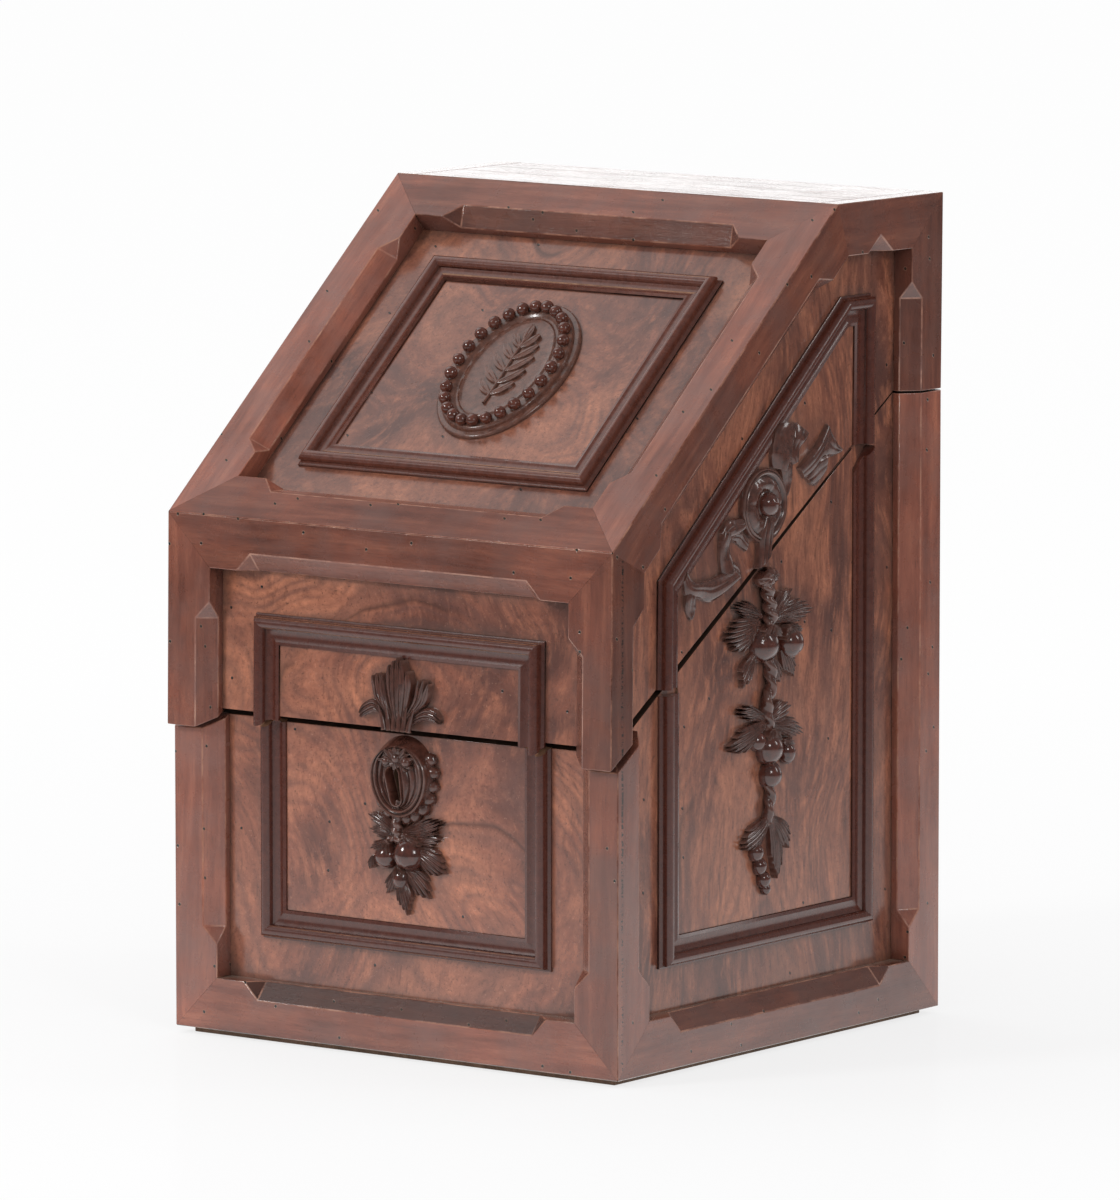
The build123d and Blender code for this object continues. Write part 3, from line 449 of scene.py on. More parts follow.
# Dressing the solids
def shared_materials():
    made = {}
    for axis in "xyzs":
        made[f"walnut_{axis}"] = walnut(f"walnut_{axis}", axis)
        made[f"walnut_edge_{axis}"] = walnut(f"walnut_edge_{axis}", axis, 1.1, True)
    made["walnut_top"] = walnut("walnut_top", "x", gloss=0.2, streaky=True)
    # The slope's burr: dark grey grime with painted shade, reaching far out from its corners and mouldings.
    greyed = dict(dust_and_shade_tint=(0.060, 0.048, 0.041), dust_and_shade_share=0.95, dust_and_shade_reach=0.016)
    made["burr_front"] = burr("burr_front", (31, 4, 77), flow=(0.8, 1, 0.8))
    made["burr_side"] = burr("burr_side", (210, 95, 12), 1, flow=(1, 1.1, 0.55), flecks=0.95)
    made["burr_slope"] = burr("burr_slope", (-60, 40, 150), 0.95, **greyed)
    for key, name, base, light, rough, dust_and_shade_share, more in (
        ("moulding", "moulding_wood", (0.070, 0.017, 0.011), (0.105, 0.028, 0.017), (0.22, 0.34), 0.20,
         dict(rough_skin=0.05)),
        # A lighter copy of the moulding wood for the slope, as painted light.
        ("moulding_slope_lit", "moulding_slope_lit_wood", (0.095, 0.028, 0.018), (0.155, 0.048, 0.030),
         (0.22, 0.34), 0.25, dict(rough_skin=0.05)),
        ("moulding_edge", "moulding_edge", (0.10, 0.036, 0.025), (0.27, 0.12, 0.08), (0.24, 0.36), 0.2,
         dict(rough_skin=0.05)),
        ("carving", "carving_wood", (0.048, 0.017, 0.012), (0.120, 0.042, 0.029), (0.17, 0.30), 0.30,
         dict(dust_and_shade_reach=0.002, wear_and_painted_light=0.75, rough_skin=0.08)),
        ("fruit", "fruit_wood", (0.046, 0.014, 0.010), (0.105, 0.028, 0.018), (0.12, 0.24), 0.3,
         dict(dust_and_shade_reach=0.0015, coat=0.9, rough_skin=0.10)),
        ("bead", "bead_wood", (0.058, 0.017, 0.011), (0.140, 0.040, 0.025), (0.04, 0.09), 0.2,
         dict(dust_and_shade_reach=0.001, coat=1, rough_skin=0.05)),
        ("medallion", "medallion_wood", (0.078, 0.030, 0.020), (0.175, 0.070, 0.046), (0.20, 0.34), 0.55,
         dict(dust_and_shade_tint=(0.14, 0.10, 0.08))),
    ):
        made[key] = dark_wood(name, base, light, *rough, dust_and_shade_share, **more)
    for key, axis, low, high in (
        # Near-black wood as painted shade in the parting gap and around screw heads.
        ("gap_shade", "z", (0.022, 0.011, 0.007), (0.062, 0.032, 0.020)),
        ("raw", "z", (0.20, 0.09, 0.05), (0.42, 0.22, 0.13)),
        ("inside", "z", (0.15, 0.085, 0.05), (0.30, 0.18, 0.11)),
        ("rack", "x", (0.13, 0.065, 0.035), (0.26, 0.14, 0.08)),
    ):
        made[key] = plain_wood(f"{key}_wood", axis, low, high)
    made["brass"] = metal("old_brass", (0.62, 0.43, 0.18), (0.20, 0.12, 0.05), 0.28)
    made["steel"] = metal("old_steel", (0.42, 0.41, 0.40), (0.10, 0.075, 0.06), 0.3)
    return made


def edge_key(edge):
    """Name of an edge by its end points, the same for two solids that share it."""
    return frozenset(tuple(round(value * 1e5) for value in vertex.co) for vertex in edge.verts)


def mitre_edges(names):
    """Edges that two strips share where they meet flush in one face."""
    seen = {}
    for name in names:
        work = bmesh.new()
        work.from_mesh(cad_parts[name].data)
        bmesh.ops.remove_doubles(work, verts=work.verts, dist=1e-6)
        bmesh.ops.dissolve_limit(work, angle_limit=math.radians(0.5), verts=work.verts, edges=work.edges)
        for edge in work.edges:
            if len(edge.link_faces) == 2 and abs(math.degrees(edge.calc_face_angle(0)) - 90) < 12:
                seen.setdefault(edge_key(edge), set()).add(name)
        work.free()
    return {key for key, users in seen.items() if len(users) > 1}


def saw(work, cut):
    """Cuts a mesh at the parting and closes it there."""
    geometry = [*work.verts, *work.edges, *work.faces]
    made = bmesh.ops.bisect_plane(work, geom=geometry, plane_co=cut[0], plane_no=cut[1], clear_outer=True)
    rim = [e for e in made["geom_cut"] if isinstance(e, bmesh.types.BMEdge)]
    bmesh.ops.holes_fill(work, edges=rim, sides=0)


def dressed(name, body, materials, chooser=None, bevel=0.42, angle=25, veneer=None, tone=1,
            flush=frozenset(), cut=None, polish=1, shut=False, reach=None):
    """A copy of a solid with fine rubbed arrises that stands for its node."""
    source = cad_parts[name]
    mesh = source.data.copy()
    mesh.name = f"{name}_look"
    mesh.materials.clear()
    for material in materials:
        mesh.materials.append(material)
    work = bmesh.new()
    work.from_mesh(mesh)
    layers = work.faces.layers.float
    for key in ("veneer", "tone", "polish"):
        layers.new(key)
    layer, own, shine = layers["veneer"], layers["tone"], layers["polish"]
    bmesh.ops.remove_doubles(work, verts=work.verts, dist=1e-6)
    bmesh.ops.dissolve_limit(work, angle_limit=math.radians(0.5), verts=work.verts, edges=work.edges)
    for vertex in work.verts if reach else ():
        vertex.co = Vector(reach(vertex.co / MM)) * MM
    if cut:
        saw(work, cut)
    for face in work.faces:
        face.material_index = 0
    low, high = (
        [limit(vertex.co[axis] for vertex in work.verts) for axis in range(3)] for limit in (min, max)
    )
    sharp = [
        e for e in work.edges
        if len(e.link_faces) == 2 and e.calc_face_angle(0) > math.radians(angle) and edge_key(e) not in flush
    ]
    bmesh.ops.bevel(work, geom=sharp, offset=bevel * MM, segments=2, profile=0.5, affect="EDGES",
                    clamp_overlap=True, material=1)
    for vertex in work.verts:
        vertex.co = [min(max(vertex.co[axis], low[axis]), high[axis]) for axis in range(3)]
    rounded = {face for face in work.faces if face.material_index == 1}
    if len(materials) == 1:
        for face in rounded:
            face.material_index = 0
    if chooser:
        for face in work.faces:
            if face not in rounded:
                face.material_index = chooser(face.calc_center_median() / MM, face.normal)
            # Shut pieces: bevel faces that face up or down at the back get the last material, dark wood as
            # painted gap shade.
            elif shut and abs(face.normal.z) > 0.7 and face.calc_center_median().z > 0.1:
                face.material_index = len(materials) - 1
    for face in work.faces:
        face[layer] = veneer(face.calc_center_median() / MM, face.normal) if veneer else 0
        face[shine] = polish
        face[own] = tone(face.normal) if callable(tone) else tone
        face.smooth = True
    for edge in work.edges:
        pair = edge.link_faces
        meets_flat = len(pair) == 2 and (pair[0] in rounded) != (pair[1] in rounded)
        edge.smooth = not meets_flat and edge.calc_face_angle(0) < math.radians(32)
    work.to_mesh(mesh)
    work.free()
    piece = bpy.data.objects.new(f"{name}_look", mesh)
    bpy.context.scene.collection.objects.link(piece)
    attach(piece, body)
    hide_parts(name)
    return piece


def dress_strips(m):
    sides, bodies = ("left", "right"), ("base", "lid")
    grains = {
        "x": ["base_front_rail", "lid_front_rail", "slope_bottom_rail", "slope_top_rail"],
        "z": [
            *(f"{body}_front_{side}_stile" for body in bodies for side in sides),
            *(f"{body}_{side}_{end}_stile" for side in sides for body in bodies for end in ("front", "rear")),
        ],
        "y": ["base_left_rail", "base_right_rail", "lid_left_top_rail", "lid_right_top_rail"],
        "s": ["slope_left_stile", "slope_right_stile", "lid_left_slant_rail", "lid_right_slant_rail"],
    }
    # Per strip: tone, chamfer tone and polish; the tones carry painted light and shade as well as each
    # strip's own tone.
    painted_light_and_polish = {
        "slope_right_stile": (1.38, 0.8, 0.6),
        "slope_top_rail": (1.15, 0.6, 0.6),
        "slope_left_stile": (1.5, 1.15, 0.6),
        "slope_bottom_rail": (1.05, 1.35, 0.32),
        "lid_right_front_stile": (0.74, 1, 0.4),
        "lid_left_front_stile": (0.74, 1, 0.4),
        "lid_right_slant_rail": (0.9, 1, 0.5),
        "lid_left_slant_rail": (0.9, 1, 0.5),
        "lid_front_right_stile": (0.92, 1, 1),
        "lid_front_left_stile": (1.15, 1, 1),
        "lid_front_rail": (1, 1.15, 0.75),
        "lid_right_rear_stile": (0.9, 1, 1),
        "lid_right_top_rail": (0.95, 1, 1),
        "base_right_front_stile": (1.15, 1, 1),
        "base_right_rear_stile": (1.5, 1, 1),
        "base_front_left_stile": (1.5, 1.1, 1),
        "base_front_rail": (1.32, 0.34, 1),
        "base_right_rail": (1, 0.8, 1),
        "base_left_rail": (1, 0.8, 1),
    }
    flush = mitre_edges([name for names in grains.values() for name in names])

    def painted_strip_light(name, own, chamfer):
        """Painted light: chamfers are made lighter or darker than the faces of the strips, as they catch the
        light differently.
        """
        if name.startswith("slope"):
            out = SLOPE_OUT
        elif "_front_" in name.replace("_front_stile", ""):
            out = Vector((0, -1, 0))
        else:
            out = Vector(("_right_" in name, 0, 0)) - Vector(("_left_" in name, 0, 0))
        return lambda normal: own * (chamfer if 0.3 < normal.dot(out) < 0.95 else 1)

    def rear_end(centre, normal):
        """Painted gap shade: dark wood on the end grain where base and lid meet at the back."""
        return 2 if abs(normal.z) > 0.9 and 200 < centre.z < 300 else 0

    for axis, names in grains.items():
        for name in names:
            materials = [m[f"walnut_{axis}"], m[f"walnut_edge_{axis}"], m["gap_shade"]]
            rear = "rear_stile" in name
            tone, chamfer, polish = painted_light_and_polish.get(name, (1, 1, 1))
            dressed(name, "base" if name.startswith("base") else "lid", materials,
                    rear_end if rear else None, tone=painted_strip_light(name, tone, chamfer), flush=flush, shut=rear,
                    polish=polish)


def dress_boards(m):
    def outer_face(axis, sign, limit):
        """Burr outside, plain wood inside and on the other edges, dark wood as painted gap shade on the edges
        that face up or down above the foot.
        """
        def choose(centre, normal):
            if normal[axis] * sign > 0.6 and centre[axis] * sign > limit:
                return 0
            return 3 if abs(normal.z) > 0.5 and FOOT + 20 < centre.z else 2
        return choose

    def inner_leaf(axis, sign, level):
        """The raised inner panel is cut from another part of the veneer."""
        return lambda centre, normal: 1 if centre[axis] * sign > level else 0

    def full_height(place):
        """Takes the raised part of a base side board up to the parting all along."""
        if abs(place.x) > 110 and abs(place.y - 64.8) < 0.4 and abs(place.z - 245.4) < 0.6:
            return place.x, place.y, PART_START + PART_SLOPE * (place.y + HALF) - 0.4
        return place

    front, side_wood, back = (
        [m[outer], m[edge], m["inside"], m["gap_shade"]]
        for outer, edge in (("burr_front",) * 2, ("burr_side",) * 2, ("walnut_z", "walnut_edge_z"))
    )
    # The board tones carry painted light as well as each board's own tone.
    for body, level, tone, cut in (
        ("base", 110.9, 1.42, parting(False, 0.5)),
        ("lid", 114, 1.32, parting(True, 1.5)),
    ):
        dressed(f"{body}_front_panel", body, front, outer_face(1, -1, 108), 0.2,
                veneer=inner_leaf(1, -1, level), tone=tone, cut=cut)
        for side, sign in (("left", -1), ("right", 1)):
            dressed(f"{body}_{side}_panel", body, side_wood, outer_face(0, sign, 109), 0.2,
                    veneer=inner_leaf(0, sign, 110.7), tone=1.1, polish=0.75,
                    reach=full_height if body == "base" else None)
        dressed(f"{body}_back_panel", body, back, outer_face(1, 1, 119))

    def slope_leaf(centre, normal):
        rise = (centre - Vector((0, LID_FRONT, SHOULDER))).dot(SLOPE_OUT)
        return 1 if rise > -9.3 else 0

    # Its tone carries painted light as well as its own tone.
    dressed("lid_slope_panel", "lid", [m["burr_slope"], m["burr_slope"], m["inside"]],
            lambda centre, normal: 0 if normal.dot(SLOPE_OUT) > 0.6 else 2, 0.2, veneer=slope_leaf, tone=1.16,
            polish=0.78)
    dressed("lid_top_board", "lid", [m["walnut_top"], m["walnut_edge_x"], m["inside"]],
            lambda centre, normal: 0 if normal.z > -0.5 else 2)
    dressed("bottom_board", "base", [m["inside"]], bevel=0.3)


def dress_mouldings(m):
    def raw_end(centre, normal):
        """Bare wood where the parting saws through a moulding."""
        return 2 if abs(normal.z) > 0.8 and 0.5 < abs(normal.y) < 0.6 else 0

    places = [f"{body}_{side}" for body in ("base", "lid") for side in ("front", "right", "left")]
    for place in (*places, "slope"):
        wood = m["moulding_slope_lit" if place == "slope" else "moulding"]
        body = "base" if place.startswith("base") else "lid"
        dressed(f"{place}_moulding", body, [wood, m["moulding_edge"], m["raw"]], raw_end, 0.2, 40)


def dress_fittings(m):
    for name, body, slot, key, bevel in (
        ("rack_rails", "base", "carcass", "rack", 0.5),
        ("rack_spacers", "base", "carcass", "rack", 0.4),
        ("rack_bearers", "base", "carcass", "rack", 0.4),
        ("lock_case", "base", "steel", "steel", 0.25),
        ("lock_bolt", "bolt", "brass", "brass", 0.3),
        ("strike_plate", "lid", "brass", "brass", 0.2),
        ("hinge_base_leaves", "base", "brass", "brass", 0.2),
        ("hinge_lid_leaves", "lid", "brass", "brass", 0.2),
        ("hinge_pins", "base", "brass", "brass", 0.2),
    ):
        dressed(name, body, [m[key]], bevel=bevel)


# Carvings
def smooth_line(points, count):
    """Points evenly spaced along a smooth line through the given ones."""
    points = np.array(points, float)
    ends = np.vstack([2 * points[0] - points[1], points, 2 * points[-1] - points[-2]])
    fine = []
    for index in range(len(points) - 1):
        p0, p1, p2, p3 = ends[index:index + 4]
        for t in np.linspace(0, 1, 12, endpoint=False):
            fine.append(0.5 * (2 * p1 + (p2 - p0) * t + (2 * p0 - 5 * p1 + 4 * p2 - p3) * t * t
                               + (3 * p1 - p0 - 3 * p2 + p3) * t ** 3))
    fine.append(points[-1])
    fine = np.array(fine)
    run = np.concatenate([[0], np.cumsum(np.linalg.norm(np.diff(fine, axis=0), axis=1))])
    places = np.linspace(0, run[-1], count)
    return np.stack([np.interp(places, run, fine[:, k]) for k in range(fine.shape[1])], axis=1)


def ripple(value, count):
    return 0.5 + 0.5 * np.cos(2 * np.pi * count * value)


class Relief:
    """Carved work on one face, in that face's own millimetres: across, up and outwards."""

    def __init__(self, origin, across, up, seed=0):
        self.origin = np.array(origin, float)
        self.axes = np.array([across, up, np.cross(across, up)], float)
        self.points, self.faces, self.slots = [], [], []
        self.random = np.random.default_rng(seed)
        self.count = 0

    def keep(self, points):
        points = np.asarray(points, float).reshape(-1, 3)
        self.points.append(points)
        first = self.count
        self.count += len(points)
        return first

    def face(self, corners, slot):
        self.faces.append(corners)
        self.slots.append(slot)

    def patch(self, grid, slot=0, foot=PANEL - 0.3):
        """A sheet given as rows of points, closed down to the panel by a skirt."""
        along = grid[1:, :-1] - grid[:-1, :-1]
        across = grid[:-1, 1:] - grid[:-1, :-1]
        if np.sum(along[..., 0] * across[..., 1] - along[..., 1] * across[..., 0]) < 0:
            grid = grid[:, ::-1]
        m, n, _ = grid.shape
        first = self.keep(grid)
        index = first + np.arange(m * n).reshape(m, n)
        for i in range(m - 1):
            for j in range(n - 1):
                self.face((index[i, j], index[i + 1, j], index[i + 1, j + 1], index[i, j + 1]), slot)
        rim = [*index[:, 0], *index[-1, 1:], *index[-2::-1, -1], *index[0, -2:0:-1]]
        flat = np.array([grid.reshape(-1, 3)[k - first] for k in rim])
        flat[:, 2] = foot
        below = self.keep(flat)
        count = len(rim)
        for k in range(count):
            after = (k + 1) % count
            self.face((rim[k], below + k, below + after, rim[after]), slot)
        self.face(tuple(below + k for k in reversed(range(count))), slot)

    def stack(self, loops, slot=0, cap=True, close=True):
        """Loops of points bridged one to the next, from the middle outwards."""
        size = len(loops[0])
        firsts = [self.keep(loop) for loop in loops]
        for low, high in zip(firsts, firsts[1:]):
            for k in range(size):
                after = (k + 1) % size
                self.face((low + k, high + k, high + after, low + after), slot)
        if cap:
            top = self.keep([np.mean(loops[0], axis=0)])
            for k in range(size):
                self.face((top, firsts[0] + k, firsts[0] + (k + 1) % size), slot)
        if close:
            self.face(tuple(firsts[-1] + k for k in reversed(range(size))), slot)

    def leaf(self, root, tip, width, rise, bow=0, lobes=2, bite=0.3, edge=1.2, curl=0, groove=0.55,
             drop=0.42, base=PANEL, slot=0, foot=PANEL - 0.3, edges=None):
        """A carved leaf that spreads from its root in pointed fingers, with grooves between them."""
        root, tip = np.array(root, float), np.array(tip, float)
        length = np.linalg.norm(tip - root)
        ahead = (tip - root) / length
        side = np.array([-ahead[1], ahead[0]])
        fingers = 2 * lobes + 1 if lobes else 1
        m, n = int(min(72, max(18, length / 0.4))), (12 * fingers + 1 if lobes else 21)
        t = np.linspace(0, 1, m)[:, None]
        s = np.linspace(-1, 1, n)[None, :]
        spot = (s + 1) / 2 * fingers
        number = np.clip(np.floor(spot), 0, fingers - 1).astype(int)
        phase = spot - number
        order = np.abs((number + 0.5) / fingers * 2 - 1)
        if lobes:
            longer = 1 - drop * order ** 1.3 + self.random.uniform(-0.04, 0.04, fingers)[number]
            reach = longer * (1 - bite * np.abs(2 * phase - 1) ** 1.5)
        else:
            reach = 0.2 + 0.8 * (1 - np.abs(s) ** 2.2)
        q = t * reach
        grid = np.zeros((m, n, 3))
        if edges:
            rails = [smooth_line(line, 64) for line in edges]
            even = np.linspace(0, 1, 64)
            for k in range(2):
                low, high = (np.interp(q, even, rail[:, k]) for rail in rails)
                grid[..., k] = low * (1 - s) / 2 + high * (1 + s) / 2
        else:
            spread = width / 2 * (0.12 + 0.88 * np.sin(np.pi * np.clip(0.06 + 0.62 * q, 0, 0.5)) ** 0.9)
            across = bow * np.sin(np.pi * q) + s * spread * (1 + 0.12 * q)
            for k in range(2):
                grid[..., k] = root[k] + ahead[k] * q * length + side[k] * across
        body = 0.6 + 0.4 * np.sin(np.pi * np.clip(0.9 * q + 0.05, 0, 1))
        height = edge + (rise - edge) * body * (1 - 0.5 * s ** 2)
        ready = np.clip(4 * q, 0, 1)
        height += groove * (np.sin(np.pi * phase).clip(0, 1) ** 0.6 - 0.75) * ready
        height += self.random.uniform(-0.2, 0.4, fingers)[number] * q + curl * t ** 3
        height -= 0.22 * np.exp(-(((phase - 0.5) / 0.07) ** 2)) * ready
        height -= 0.10 * ripple(phase, 4) * ready
        grid[..., 2] = base + np.maximum(height, 0.3)
        self.patch(grid, slot, foot)

    def leaves(self, rows, **more):
        """Leaves from rows of root, tip, width, rise, lobes, bite, bow and curl."""
        for u, v, tip_u, tip_v, width, rise, lobes, bite, *bend in rows:
            bow, curl = (*bend, 0, 0)[:2]
            self.leaf((u, v), (tip_u, tip_v), width, rise, bow, lobes, bite, curl=curl, **more)

    def make_pair(self, name, body, node, m, cut):
        """The same carving on the right side and, mirrored, on the left one."""
        for side in ("right", "left"):
            self.make(f"{name}_{side}", body, "carving", f"{node}_{side}", [m["carving"], m["fruit"]],
                      side == "left", cut)

    def sepals(self, rows, bite):
        """Small leaves that lie on a fruit: root, tip, width and level above the panel."""
        for u, v, tip_u, tip_v, width, level in rows:
            base = PANEL + level
            self.leaf((u, v), (tip_u, tip_v), width, 2, lobes=2, bite=bite, edge=0.7, base=base, groove=0.3)

    def fruit(self, u, v, radius, rise=0.35, stretch=(1, 1), dimple=None, slot=1, base=PANEL, crease=0):
        """A round fruit sunk in the panel, a little uneven, with the mark of its blossom."""
        size = 40
        turn = np.linspace(0, 2 * np.pi, size, endpoint=False)
        centre = base + radius * rise
        phase = self.random.uniform(0, 6, 4)
        loops = []
        deepest = math.acos(max(-1, min(1, -(radius * rise + 0.3) / radius)))
        for fall in np.linspace(0.07, deepest, 17):
            x, y, z = np.sin(fall) * np.cos(turn), np.sin(fall) * np.sin(turn), np.cos(fall) + 0 * turn
            uneven = 1 + 0.012 * np.sin(3 * x + phase[0]) + 0.012 * np.sin(4 * y + phase[1])
            uneven += 0.008 * np.sin(9 * x * y + phase[2])
            if crease:
                uneven -= 0.05 * np.exp(-((np.sin((turn - phase[3]) / 2)) ** 2) / 0.004) * np.sin(fall)
            if dimple is not None:
                level = math.sqrt(max(0, 1 - dimple[0] ** 2 - dimple[1] ** 2))
                far = (x - dimple[0]) ** 2 + (y - dimple[1]) ** 2 + (z - level) ** 2
                uneven -= 0.10 * np.exp(-far / 0.03) - 0.05 * np.exp(-far / 0.008)
            across, along = radius * stretch[0] * x * uneven, radius * stretch[1] * y * uneven
            loops.append(np.stack([u + across, v + along, centre + radius * z * uneven], 1))
        self.stack(loops, slot)

    def stem(self, path, radius, height, twist=0.9, slot=0, ribs=2, depth=0.2):
        """A twisted stalk along a line of points."""
        count = max(10, int(np.sum(np.linalg.norm(np.diff(np.array(path, float), axis=0), axis=1)) / 0.6))
        line = smooth_line(path, count)
        tangent = np.gradient(line, axis=0)
        tangent /= np.linalg.norm(tangent, axis=1)[:, None]
        run = np.concatenate([[0], np.cumsum(np.linalg.norm(np.diff(line, axis=0), axis=1))])
        size = 20
        turn = np.linspace(0, 2 * np.pi, size, endpoint=False)
        radii = np.interp(np.linspace(0, 1, count), np.linspace(0, 1, len(radius)), radius)
        loops = []
        for k in range(count):
            r = radii[k] * (1 + depth * np.cos(ribs * (turn + twist * run[k])))
            out, lift = r * np.cos(turn), r * np.sin(turn)
            u, v = line[k, 0] - tangent[k, 1] * out, line[k, 1] + tangent[k, 0] * out
            loops.append(np.stack([u, v, PANEL + height + lift], 1))
        loops = loops[::-1]
        self.stack(loops, slot)

    def screw(self, u, v, radius, turned):
        """A slotted countersunk head, just proud of its plate, over a dark ring of painted shade."""
        whole = np.linspace(0, 2 * np.pi, 28, endpoint=False)
        self.stack([np.stack([u + r * np.cos(whole), v + r * np.sin(whole), height + 0 * whole], 1)
                    for r, height in ((0.5 * radius, 0.05), (1.12 * radius, 0.05), (1.12 * radius, -0.1))], 1)
        half = np.arccos(0.15)
        for side in (0, np.pi):
            facing = turned + side
            arc = facing + np.linspace(-half, half, 20)
            middle = np.array([u, v]) + 0.5 * radius * np.array([math.cos(facing), math.sin(facing)])
            edge = np.stack([u + radius * np.cos(arc), v + radius * np.sin(arc)], 1)
            self.stack([np.column_stack([middle + (edge - middle) * share, height + 0 * arc])
                        for share, height in ((0.5, 0.20), (0.93, 0.19), (1, 0.13), (1, -0.1))], 0)

    def ribbon(self, left, right, lifts, bulge=0.7, pleats=2, depth=0.22, slot=0):
        """One fold of a ribbon between its two edges; lifts are pairs of heights along it."""
        length = np.sum(np.linalg.norm(np.diff(np.array(left, float), axis=0), axis=1))
        m, n = max(12, int(length / 0.45)), 19
        a, b = smooth_line(left, m), smooth_line(right, m)
        t = np.linspace(0, 1, m)[:, None]
        s = np.linspace(0, 1, n)[None, :]
        lifts = np.array(lifts, float)
        places = np.linspace(0, 1, len(lifts))
        low = np.interp(t[:, 0], places, lifts[:, 0])[:, None]
        high = np.interp(t[:, 0], places, lifts[:, 1])[:, None]
        grid = np.zeros((m, n, 3))
        for k in range(2):
            grid[..., k] = a[:, k][:, None] * (1 - s) + b[:, k][:, None] * s
        height = low * (1 - s) + high * s + bulge * np.sin(np.pi * s)
        height -= depth * ripple(s + 0.06 * np.sin(4 * t), pleats) ** 4
        height += 0.35 * np.sin(7 * t + 1.5 * s) - 0.5 * np.exp(-((np.minimum(s, 1 - s) / 0.06) ** 2))
        grid[..., 2] = PANEL + np.maximum(height, 0.4)
        self.patch(grid, slot)

    def folds(self, rows, **more):
        """Folds of a ribbon from flat rows: its left edge, its right edge, pairs of heights, bulge."""
        for *lines, bulge in rows:
            left, right, lifts = (np.reshape(line, (-1, 2)) for line in lines)
            self.ribbon(left, right, lifts, bulge, **more)

    def make(self, name, body, slot, node, materials, mirrored=False, cut=None):
        points = np.vstack(self.points) @ self.axes + self.origin
        if mirrored:
            points[:, 0] *= -1
        points *= MM
        if body == "lid":
            turn = np.array(AJAR)
            points = points @ turn[:3, :3].T + turn[:3, 3]
        mesh = bpy.data.meshes.new(name)
        faces = [tuple(int(k) for k in (face[::-1] if mirrored else face)) for face in self.faces]
        mesh.from_pydata(points.tolist(), [], faces)
        for material in materials:
            mesh.materials.append(material)
        mesh.polygons.foreach_set("material_index", self.slots)
        if cut:
            work = bmesh.new()
            work.from_mesh(mesh)
            saw(work, cut)
            work.to_mesh(mesh)
            work.free()
        mesh.polygons.foreach_set("use_smooth", [True] * len(mesh.polygons))
        mesh.set_sharp_from_angle(angle=math.radians(48))
        piece = bpy.data.objects.new(name, mesh)
        bpy.context.scene.collection.objects.link(piece)
        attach(piece, body)
        if node:
            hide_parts(node)
        return piece


def oval_loop(centre, a, b, turn, height):
    """Points of an oval, at a height above the panel."""
    u, v = centre[0] + a * np.cos(turn), centre[1] + b * np.sin(turn)
    return np.stack([u, v, PANEL + height + 0 * turn], 1)


def front_face(seed, lid=False):
    return Relief((-HALF, LID_FRONT if lid else -HALF, FOOT), (1, 0, 0), (0, 0, 1), seed)


def side_face(seed):
    return Relief((HALF, -HALF, FOOT), (0, 1, 0), (0, 0, 1), seed)


def slope_face(seed):
    return Relief((-HALF, LID_FRONT, SHOULDER), (1, 0, 0), (0, math.cos(SLOPE), math.sin(SLOPE)), seed)


def parting(lid, spare):
    """Plane that keeps carvings on their own side of the slanted parting."""
    rise = 141.7 / 216.8
    normal = Vector((0, -rise, 1)).normalized()
    place = Vector((0, -0.120, PART_START * MM))
    if lid:
        place = AJAR @ (place + Vector((0, 0, (0.5 + spare) * MM)))
        return place, -(AJAR.to_3x3() @ normal)
    return place - Vector((0, 0, spare * MM)), normal


def carve_palmette(m):
    work = front_face(3, lid=True)
    lobes = [
        ([(119.6, 140.6), (113.5, 147), (108, 150.6), (102.2, 147.6), (100.2, 142.6)],
         [(119.6, 139.2), (114, 142.6), (110, 145), (106, 143.9), (101.6, 141.6)], 1, 3.6, 0.30, 0.6),
        ([(125.6, 140.6), (131.4, 145.8), (136.8, 149), (142, 148.2), (145.4, 144.4)],
         [(125.6, 139.2), (131, 141.8), (135.5, 143.2), (139.5, 143.2), (144.4, 142.2)], 1, 3.6, 0.30, 0.6),
        ([(120, 140.6), (113.8, 147), (109.4, 152), (108.3, 157), (107.6, 162)],
         [(121.6, 140.6), (117.6, 148), (116, 153.5), (115.4, 158), (114.4, 162.4)], 1, 4.6, 0.26, 1),
        ([(123.6, 140.6), (127.6, 147), (130.4, 152), (131.9, 157), (132.8, 161.4)],
         [(125.2, 140.6), (131.2, 145.6), (136.6, 150.4), (138.8, 155), (141.2, 161.4)], 1, 4.6, 0.26, 1),
        ([(120.6, 139.6), (118.2, 147), (116.6, 153), (115.6, 160), (117, 170)],
         [(124.8, 139.6), (127, 147), (128.6, 153), (129.8, 160), (128, 170)], 2, 5.4, 0.22, 0.7),
    ]
    for low, high, count, rise, bite, curl in lobes:
        work.leaf(low[0], high[-1], 1, rise, lobes=count, bite=bite, edge=1.6, curl=curl, groove=1,
                  drop=0.20 if count == 2 else 0.05, edges=(low, high))
    for u, lean in ((116.2, -1.6), (118.6, -0.9), (121, -0.3), (123.2, 0.3), (125.6, 0.9), (128, 1.6)):
        path = [(u + 0.3 * lean, 138), (u + lean, 142.6), (u + 2.4 * lean, 148.4)]
        work.stem(path, [1.45, 1, 0.25], 4.3, 0, ribs=1, depth=0)
    work.make("palmette_carving", "lid", "carving", "palmette", [m["carving"], m["fruit"]],
              cut=parting(True, 0.5))


KEYHOLE = np.array([118, 115.5])
KEYHOLE_TILT = math.radians(11)


